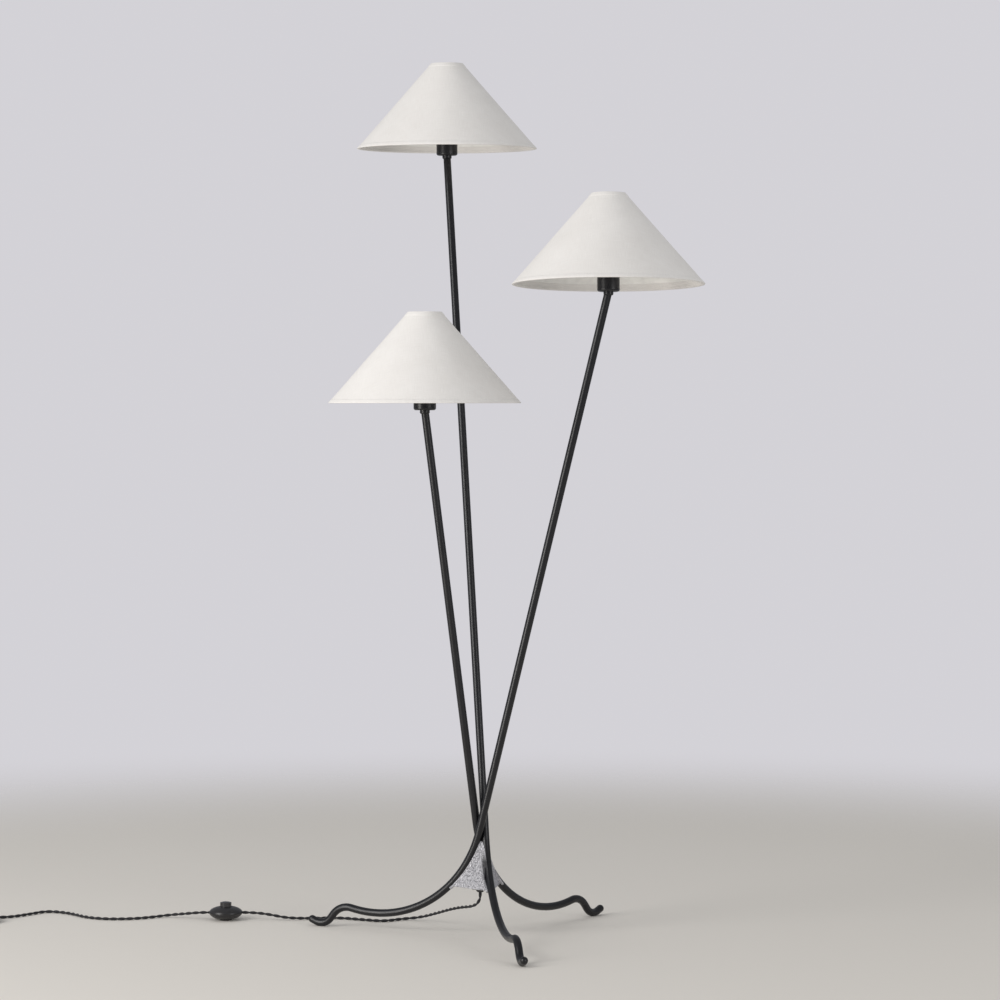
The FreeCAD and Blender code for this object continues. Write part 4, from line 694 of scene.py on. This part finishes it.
pan_shape = screw_head(0.0035, 0.0024, 0.0019)
bmesh.ops.create_cone(pan_shape, cap_ends=True, segments=24, radius1=0.00195, radius2=0.0016, depth=0.009,
                      matrix=Matrix.Translation((0, 0, 0.0045)))
pan_screw = bpy.data.objects.new("pan_screw", mesh_from("pan_screw", pan_shape))
spots = bpy.data.meshes.new("spots")
spots.from_pydata(COVER_SCREWS, [], [])
screws = grown("base_screws", spots, repeated_tree(), Part=pan_screw, Turn=3.1, Seed=4, Finish=zinc)
shown("base_screws", screws, "steel", "cover_screws")


def moulding(name, colour, roughness, grain=1500.0, depth=0.00012, shine=0.5):
    """Moulded plastic, rubber or glaze: faint flow clouds, a fine spark texture from the tool."""
    made, tree, where = start_finish(name)
    clouds = grains(tree, where, 70.0, 2.0)
    sparks = grains(tree, where, grain, 1.5)
    tone = blend(tree, clouds, [0.82 * part for part in colour], [min(1.0, 1.12 * part) for part in colour])
    both = maths(tree, "MULTIPLY_ADD", clouds, 0.6, sparks)
    rough = spread(tree, both, 0.5, 1.1, roughness * 0.85, min(1.0, roughness * 1.2))
    return wire(made, tone, rough, sparks, 0.35, depth, Specular_IOR_Level=shine)


black_nylon = moulding("black_nylon", (0.022, 0.022, 0.023), 0.45)
phenolic = moulding("brown_black_phenolic", (0.030, 0.024, 0.020), 0.30, grain=900.0, depth=0.00008)
brass = ground_metal("plain_brass", (0.72, 0.50, 0.22), 0.30)
dress(black_nylon, "cord_gland")
dress(phenolic, "terminal_block", "contact_block", "tall_lampholder", "low_lampholder", "mid_lampholder")
dress(moulding("white_lead_insulation", (0.78, 0.78, 0.75), 0.5), "inner_leads")
dress(brass, "screw_shells", "centre_contacts", "contact_bridge", "switch_terminals")

# ------------------------------------------------------------------ heads
# A small cast collar turns each leaning tube upright. On it stands a drawn steel socket cup in the
# same black, and in that the lampholder with a round frosted bulb.

dress(coat, *(f"{rod}_{part}" for rod in RODS for part in ("ferrule", "cup")))
opal = moulding("frosted_bulb_glass", (0.86, 0.86, 0.83), 0.38, grain=2600.0, depth=0.00004)
opal.node_tree.nodes["Principled BSDF"].inputs["Coat Weight"].default_value = 0.15
dress(opal, *(rod + "_bulb_glass" for rod in RODS))
dress(ground_metal("thin_rolled_aluminium", (0.72, 0.72, 0.74), 0.28, stretch=(1, 1, 8)), "bulb_caps")
enamel = moulding("white_enamel", (0.80, 0.79, 0.76), 0.32, grain=700.0)
dress(enamel, *(rod + "_shade_fitter" for rod in RODS))

# ------------------------------------------------------------------ shade ring nuts
# A moulded ring with finger ribs clamps each shade's fitter on the lampholder.

# the middle of the cup's underside in metres, the way up the head and the way over the leaning tube
HEADS = {"tall": ((-0.066828, 0.361942, 1.434), (0, -0.017452, 0.999848), (0.190120, -0.981611, -0.017134)),
         "low": ((-0.099328, -0.094767, 0.9535), (0, 0.005236, 0.999986), (0.662492, 0.749059, -0.003922)),
         "mid": ((0.225592, -0.110617, 1.163), (0, 0.047106, 0.998890), (-0.839836, 0.542238, -0.025571))}


def head_place(rod):
    """Stands on the middle of the cup's underside, Z up the head, X over the leaning tube."""
    base, up, over = (Vector(part) for part in HEADS[rod])
    side = up.cross(over)
    return Matrix(((over.x, side.x, up.x, base.x), (over.y, side.y, up.y, base.y),
                   (over.z, side.z, up.z, base.z), (0, 0, 0, 1)))


def spun(profile, around, ribs=0, rib_depth=0.0):
    """Rings of a closed profile of (radius, height, rib share) turned round Z."""
    rings = []
    for angle in turns_of(around):
        rise = 0.5 + 0.5 * math.cos(ribs * angle) if ribs else 0
        rings.append([Vector(((radius + rib_depth * share * rise ** 2) * math.cos(angle),
                              (radius + rib_depth * share * rise ** 2) * math.sin(angle), height))
                      for radius, height, share in profile])
    return rings


def closed_ring(name, rings, place_at, made):
    """A ring-shaped mesh from closed sections all the way round."""
    count, deep = len(rings), len(rings[0])
    faces = [(i * deep + j, ((i + 1) % count) * deep + j, ((i + 1) % count) * deep + (j + 1) % deep,
              i * deep + (j + 1) % deep) for i in range(count) for j in range(deep)]
    mesh = bpy.data.meshes.new(name)
    mesh.from_pydata([tuple(place_at @ spot) for ring in rings for spot in ring], [], faces)
    outward(mesh)
    finish(mesh, made)
    return mesh


# radius, height and share of the ribs' depth, in mm
NUT = [(18.3, 44.3, 0), (18.3, 51.7, 0), (18.7, 52.0, 0), (21.3, 52.0, 0), (22.2, 51.8, 0), (22.5, 51.2, 1),
       (22.5, 50.8, 1), (22.5, 45.6, 1), (22.5, 45.2, 1), (22.2, 44.5, 0), (21.6, 44.2, 0), (18.6, 44.1, 0)]
NUT_SIDES, RIBS, RIB_DEPTH = 192, 24, 0.0005
nuts = bmesh.new()
for rod in RODS:
    section = [(radius / 1000, height / 1000, share) for radius, height, share in NUT]
    nuts.from_mesh(closed_ring("nut", spun(section, NUT_SIDES, RIBS, RIB_DEPTH), head_place(rod), phenolic))
mesh = mesh_from("ring_nuts", nuts)
mesh.materials.append(phenolic)
shown("ring_nuts", mesh, "phenolic", "shade_ring_nuts")

# ------------------------------------------------------------------ shades
# Cream linen laminated on a stiff white lining, cut as one flat sector and lapped at the back. The
# cloth is rolled over a wire at the rim and turned in over the top ring, with a narrow hem at each.

# in mm up the head: the bare skin's radius and height at its rim and at its mouth; its slant; the hems'
# width, how far they stand proud, and the wall's thickness
RIM, MOUTH, RIM_HEIGHT, MOUTH_HEIGHT = 171.0, 30.0, 13.0, 174.0
FALL = (RIM - MOUTH) / (MOUTH_HEIGHT - RIM_HEIGHT)
SLANT = math.hypot(RIM - MOUTH, MOUTH_HEIGHT - RIM_HEIGHT)
OUT_R, OUT_Z = (MOUTH_HEIGHT - RIM_HEIGHT) / SLANT, (RIM - MOUTH) / SLANT
HEM, HEM_STEP, WALL = 6.0, 0.38, 1.3
SECTOR = OUT_Z
AROUND, LAP_ROWS, LAP_FROM, LAP_TO = 240, 40, 20.2, 167.2
# across the lap in mm: how far aside of the seam, and how far it stands proud
LAP = [(-4.2, -0.2), (-3.9, 0.42), (-2.0, 0.45), (0.0, 0.45), (2.0, 0.45), (3.9, 0.42), (4.2, -0.2)]
UNEVEN, UNEVEN_SCALE = 0.00042, 17


def cream_linen():
    """Plain weave of uneven cream yarn: thick and thin threads both ways, a soft matt surface."""
    made, tree, where = start_finish("cream_linen")
    chart = place(tree, "UVMap", {"uv_map": "UVMap"}).outputs[0]
    threads, slubs = [], []
    for way, stretch in (("X", (1500, 42, 1)), ("Y", (42, 1500, 1))):
        threads.append(place(tree, "TexWave", {"bands_direction": way}, Vector=chart, Scale=520.0,
                             Distortion=0.5, Detail=1.0).outputs["Fac"])
        slubs.append(grains(tree, place(tree, "Mapping", in0=chart, Scale=stretch).outputs[0], 1.0, 2.0))
    weave = maths(tree, "MAXIMUM", *threads)
    yarn = maths(tree, "ADD", *slubs)
    shade = maths(tree, "MULTIPLY_ADD", grains(tree, where, 16.0, 3.0), 0.7, yarn)
    colour = blend(tree, spread(tree, shade, 0.95, 1.75), (0.655, 0.630, 0.603), (0.740, 0.719, 0.696))
    rough = spread(tree, weave, 0.0, 1.0, 0.92, 0.78)
    height = maths(tree, "MULTIPLY_ADD", yarn, 1.4, weave)
    return wire(made, colour, rough, height, 0.35, 0.00018, Specular_IOR_Level=0.2, Sheen_Weight=0.12,
                Sheen_Roughness=0.5)


def skin_radius(z):
    return RIM - (z - RIM_HEIGHT) * FALL

def out_there(radius, turn, height):
    """A point round the head's own axis, from mm."""
    return Vector((radius * math.sin(turn), -radius * math.cos(turn), height)) / 1000


def shade_section():
    """The skin's closed section as (radius, height, 1 inside), from the top."""
    outer = [(z, HEM_STEP) for z in (173.7, 172.0, 169.5)] + [(MOUTH_HEIGHT - HEM, HEM_STEP)]
    outer += [(MOUTH_HEIGHT - HEM - 0.35, 0.0), (MOUTH_HEIGHT - HEM - 1.2, 0.0)]
    outer += [(165.0 - 145.0 * i / 26, 0.0) for i in range(27)]
    outer += [(RIM_HEIGHT + HEM + 0.35, 0.0), (RIM_HEIGHT + HEM, HEM_STEP),
              (RIM_HEIGHT + HEM - 0.8, HEM_STEP), (16.5, HEM_STEP), (14.4, HEM_STEP)]
    section = [(skin_radius(z) + proud * OUT_R, z + proud * OUT_Z, 0) for z, proud in outer]
    section += [(171.0, 13.25, 0), (170.3, 12.75, 0), (169.2, 12.55, 0), (167.2, 12.5, 0), (165.3, 12.75, 0),
                (164.0, 13.5, 0), (163.4, 14.8, 0), (163.5, 16.2, 0), (163.7, 17.6, 0), (163.4, 18.8, 0)]
    inner = [(z, WALL + 0.3) for z in (20.0, 22.0, 24.4)] + [(24.8, WALL), (25.6, WALL)]
    inner += [(26.5 + 138.0 * i / 24, WALL) for i in range(25)]
    inner += [(165.4, WALL), (165.8, WALL + 0.3), (169.0, WALL + 0.3), (172.5, WALL + 0.3)]
    section += [(skin_radius(z) - deep, z, 1 if deep == WALL else 0) for z, deep in inner]
    section += [(29.2, 174.0, 0), (29.7, 174.45, 0), (30.3, 174.4, 0)]
    return section


linen = cream_linen()
lining = moulding("white_lining", (0.80, 0.79, 0.76), 0.48, grain=420.0, depth=0.00006)
section = shade_section()
deep = len(section)
apex = RIM / SECTOR
for number, rod in enumerate(RODS):
    verts, faces, maps, insides, charts = [], [], [], [], []
    for part in range(AROUND + 1):
        turn = -math.pi + 2 * math.pi * part / AROUND
        for radius, height, _ in section:
            if part < AROUND:
                spot = out_there(radius, turn, height)
                wave = UNEVEN * noise.noise(spot * UNEVEN_SCALE + Vector((number * 9.0, 0, 0)))
                wave *= min(1.0, max(0.0, (height - 20) / 30))
                verts.append(spot + Vector((math.sin(turn), -math.cos(turn), 0)) * wave)
            down = (apex - (height - RIM_HEIGHT) / OUT_R) / 1000
            charts.append((down * math.sin(turn * SECTOR), down * math.cos(turn * SECTOR)))
    for part in range(AROUND):
        for row in range(deep):
            follow, after = (row + 1) % deep, ((part + 1) % AROUND) * deep
            faces.append((part * deep + row, after + row, after + follow, part * deep + follow))
            maps.append((charts[part * deep + row], charts[(part + 1) * deep + row],
                         charts[(part + 1) * deep + follow], charts[part * deep + follow]))
            insides.append(1 if section[row][2] and section[follow][2] else 0)
    # the lap: the sector's outer end laid over its beginning, at the back
    first = len(verts)
    for row in range(LAP_ROWS + 1):
        height = LAP_FROM + (LAP_TO - LAP_FROM) * row / LAP_ROWS
        for aside, proud in LAP:
            radius = skin_radius(height) + proud * OUT_R
            verts.append(out_there(radius, math.pi + aside / radius, height + proud * OUT_Z))
    for row in range(LAP_ROWS):
        v0, v1 = (SLANT * at / LAP_ROWS / 1000 for at in (row, row + 1))
        for column in range(len(LAP) - 1):
            a = first + row * len(LAP) + column
            faces.append((a, a + 1, a + 1 + len(LAP), a + len(LAP)))
            u0, u1 = (LAP[at][0] / 1000 for at in (column, column + 1))
            maps.append(((u0, v0), (u1, v0), (u1, v1), (u0, v1)))
            insides.append(0)
    stand = head_place(rod)
    seam_back = Matrix.Rotation(-math.atan2(stand[1][0], stand[0][0]), 3, "Z")
    upright = [stand.to_translation() + stand.to_3x3() @ seam_back @ spot for spot in verts]
    mesh = mesh_of(rod + "_shade", (upright, faces, maps), linen, lining)
    mesh.polygons.foreach_set("material_index", insides)
    outward(mesh)
    shown(rod + "_shade", mesh, "linen", rod + "_shade_skin", rod + "_rim_wire")

# ------------------------------------------------------------------ foot switch
# A round oval body of two satin black shells on a rubber pad, screwed together from below. The cord
# goes in and out at the seam. The sprung push button stands in a bore through the upper shell.

SWITCH_PLACE = Matrix.Translation((-0.478, 0.196, 0))
# in mm: the seam's height, the shells' outer and inner radius there, and the screws' distance out
SEAM, BELT, CAVITY, POST_REACH = 14.0, 31.0, 28.8, 20.0
SHELL_AROUND, HOLE_AROUND, HARD_EDGE = 128, 40, math.radians(32)
# holes as (middle, way, radius, length), in mm: the cord's, then each screw's head and shank
CORD_HOLE = ((0, 0, SEAM), (1, 0, 0), 3.05, 70)
SCREW_HOLES = [((0, side * POST_REACH, z), (0, 0, 1), radius, long)
               for side in (-1, 1) for z, radius, long in ((3.75, 3.2, 7.5), (8.5, 1.65, 6.0))]


def oval(radius, high, first, last, steps):
    """Radius and height along an oval quarter that stands on the seam, between two radii."""
    start, end = math.acos(first / radius), math.acos(last / radius)
    turns = [start + (end - start) * i / steps for i in range(steps + 1)]
    return [(radius * math.cos(turn), SEAM + high * math.sin(turn)) for turn in turns]


def cut_shell(name, mesh, holes, stands_for):
    """A shell with round holes through it, its hard edges kept."""
    solid = linked(name, mesh)
    tools = []
    for middle, way, radius, length in holes:
        tool = bmesh.new()
        turn = Vector(way).to_track_quat("Z", "Y").to_matrix().to_4x4()
        at = SWITCH_PLACE @ Matrix.Translation(Vector(middle) / 1000) @ turn
        bmesh.ops.create_cone(tool, cap_ends=True, segments=HOLE_AROUND, radius1=radius / 1000,
                              radius2=radius / 1000, depth=length / 1000, matrix=at)
        tools.append(linked("hole", mesh_from("hole", tool)))
        cut = solid.modifiers.new("hole", "BOOLEAN")
        cut.operation, cut.solver, cut.object = "DIFFERENCE", "EXACT", tools[-1]
    made = baked(solid, *tools)
    finish(made, shell)
    made.set_sharp_from_angle(angle=HARD_EDGE)
    shown(name, made, "switch_black", stands_for)


shell = moulding("satin_black_shell", (0.018, 0.017, 0.018), 0.34, grain=800.0, depth=0.00005, shine=0.45)
# both shells' sections as radius and height in mm, a fine groove left between them at the seam
upper = [(CAVITY, SEAM), (30.5, SEAM), (30.85, SEAM + 0.14), *oval(BELT, 12.3, 30.985, 11.6, 30),
         (11.25, 25.43), (11.05, 25.25), (11.0, 24.9), (11.0, 23.3), *oval(CAVITY, 10.1, 13.0, 28.7, 16)]
lower = [(6.0, 3.7), (16.3, 3.7), (16.3, 10.5), (23.5, 10.5), (CAVITY, SEAM), (30.5, SEAM),
         (30.85, SEAM - 0.14), *oval(BELT, -13.37, 30.985, 11.2, 30), (10.9, 1.5), (6.0, 1.5)]
mesh = closed_ring("upper", spun([(radius / 1000, z / 1000, 0) for radius, z in upper], SHELL_AROUND),
                   SWITCH_PLACE, shell)
cut_shell("switch_upper_shell", mesh, [CORD_HOLE], "switch_cover")
rings = [[SWITCH_PLACE @ (Vector((radius * math.cos(turn), radius * math.sin(turn), z)) / 1000)
          for turn in turns_of(SHELL_AROUND)] for radius, z in lower]
data = ([], [], [])
wrap_rings(data, rings, [0.0] * len(rings), 0.0)
mesh = mesh_of("lower", data, shell)
outward(mesh)
cut_shell("switch_lower_shell", mesh, [CORD_HOLE, *SCREW_HOLES], "switch_base")
dress(moulding("polished_black_button", (0.020, 0.019, 0.021), 0.20, grain=500.0, depth=0.00003, shine=0.6),
      "switch_button")
dress(moulding("black_rubber", (0.020, 0.020, 0.020), 0.8, grain=1800.0, depth=0.0002, shine=0.3),
      "switch_pad")
dress(ground_metal("blackened_steel", (0.045, 0.045, 0.047), 0.42), "switch_screws")
mesh = nodes["switch_spring"].data.copy()
mesh.materials.clear()
mesh.materials.append(zinc)
coil_spring = shown("switch_return_spring", mesh, "steel", "switch_spring")
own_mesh(coil_spring)

# ------------------------------------------------------------------ plug
# A moulded two-blade plug: a ribbed tapered boot grips the cord, the grip is waisted, the blades are
# brass with a rounded tip and the usual hole.

PLUG_AT, PLUG_WAY = Vector((-0.982607, 0.139507, 0.0091)), Vector((-0.307285, -0.951618, 0))
PLUG_SIDE = Vector((PLUG_WAY.y, -PLUG_WAY.x, 0))
# along, half width, half thickness, squareness: in mm but for the last
PLUG = [(0.0, 3.1, 3.1, 2), (0.3, 3.9, 3.9, 2), (1.2, 4.1, 4.1, 2)]
for rib in range(5):
    start, size = 2.2 + rib * 3.0, 4.2 + rib * 0.24
    PLUG += [(start, size - 0.9, size - 0.9, 2), (start + 0.9, size - 0.9, size - 0.9, 2),
             (start + 1.15, size, size, 2), (start + 2.1, size, size, 2),
             (start + 2.35, size - 0.6, size - 0.6, 2)]
PLUG += [(18.2, 6.0, 5.6, 2.2), (19.5, 9.2, 7.2, 2.8), (21.5, 11.6, 8.2, 3.4), (24.0, 12.3, 8.55, 3.8),
         (28.0, 11.6, 8.3, 3.8), (33.0, 11.2, 8.1, 3.8), (38.0, 11.7, 8.4, 3.8), (42.0, 12.3, 8.7, 4),
         (44.2, 12.45, 8.75, 4), (44.8, 12.1, 8.4, 4), (45.0, 11.4, 7.7, 4)]
PLUG_AROUND = 64
rings = []
for along, half_width, half_thick, square in PLUG:
    ring = []
    for angle in turns_of(PLUG_AROUND):
        x, z = (math.copysign(abs(way) ** (2 / square), way) for way in (math.cos(angle), math.sin(angle)))
        x, z = x * half_width, z * half_thick
        ring.append(PLUG_AT + (PLUG_WAY * along + PLUG_SIDE * x + Vector((0, 0, z))) / 1000)
    rings.append(ring)
data = ([], [], [])
wrap_rings(data, rings, [row[0] / 1000 for row in PLUG], 0.001)
mesh = mesh_of("plug_moulding", data, moulding("black_plug_rubber", (0.020, 0.020, 0.021), 0.5))
outward(mesh)
shown("plug_moulding", mesh, "plug_black", "plug_body")

# the blade's outline and the hole's radius and place in mm; how far apart the blades stand, in metres
BLADE = [(-3.07, -12), (3.07, -12), (3.07, 13.6), (2.2, 15.3), (1.0, 15.85), (-1.0, 15.85), (-2.2, 15.3),
         (-3.07, 13.6)]
HOLE, HOLE_ALONG, HOLE_STEPS = 1.6, 11.4, 12
BLADE_ASIDE, PLUG_FACE = 0.00635, 0.045
blade = bpy.data.curves.new("blade", "CURVE")
blade.dimensions, blade.fill_mode = "2D", "BOTH"
blade.extrude, blade.bevel_depth = 0.00065, 0.0001
turns = [math.pi * i / HOLE_STEPS for i in range(2 * HOLE_STEPS)]
for outline in (BLADE, [(HOLE * math.cos(turn), HOLE_ALONG + HOLE * math.sin(turn)) for turn in turns]):
    spline = blade.splines.new("POLY")
    spline.points.add(len(outline) - 1)
    for spot, (x, y) in zip(spline.points, outline):
        spot.co = (x / 1000, y / 1000, 0, 1)
    spline.use_cyclic_u = True
flat_mesh = read_back(blade)
both = bmesh.new()
for side in (-1, 1):
    middle = PLUG_AT + PLUG_WAY * PLUG_FACE + PLUG_SIDE * side * BLADE_ASIDE
    turned_in = Matrix(((0, PLUG_WAY.x, PLUG_SIDE.x, middle.x), (0, PLUG_WAY.y, PLUG_SIDE.y, middle.y),
                        (1, PLUG_WAY.z, PLUG_SIDE.z, middle.z), (0, 0, 0, 1)))
    copy = flat_mesh.copy()
    copy.transform(turned_in)
    both.from_mesh(copy)
bmesh.ops.remove_doubles(both, verts=both.verts, dist=1e-6)
bmesh.ops.recalc_face_normals(both, faces=both.faces)
mesh = mesh_from("blades", both)
mesh.materials.append(brass)
shown("blades", mesh, "brass", "plug_blades")
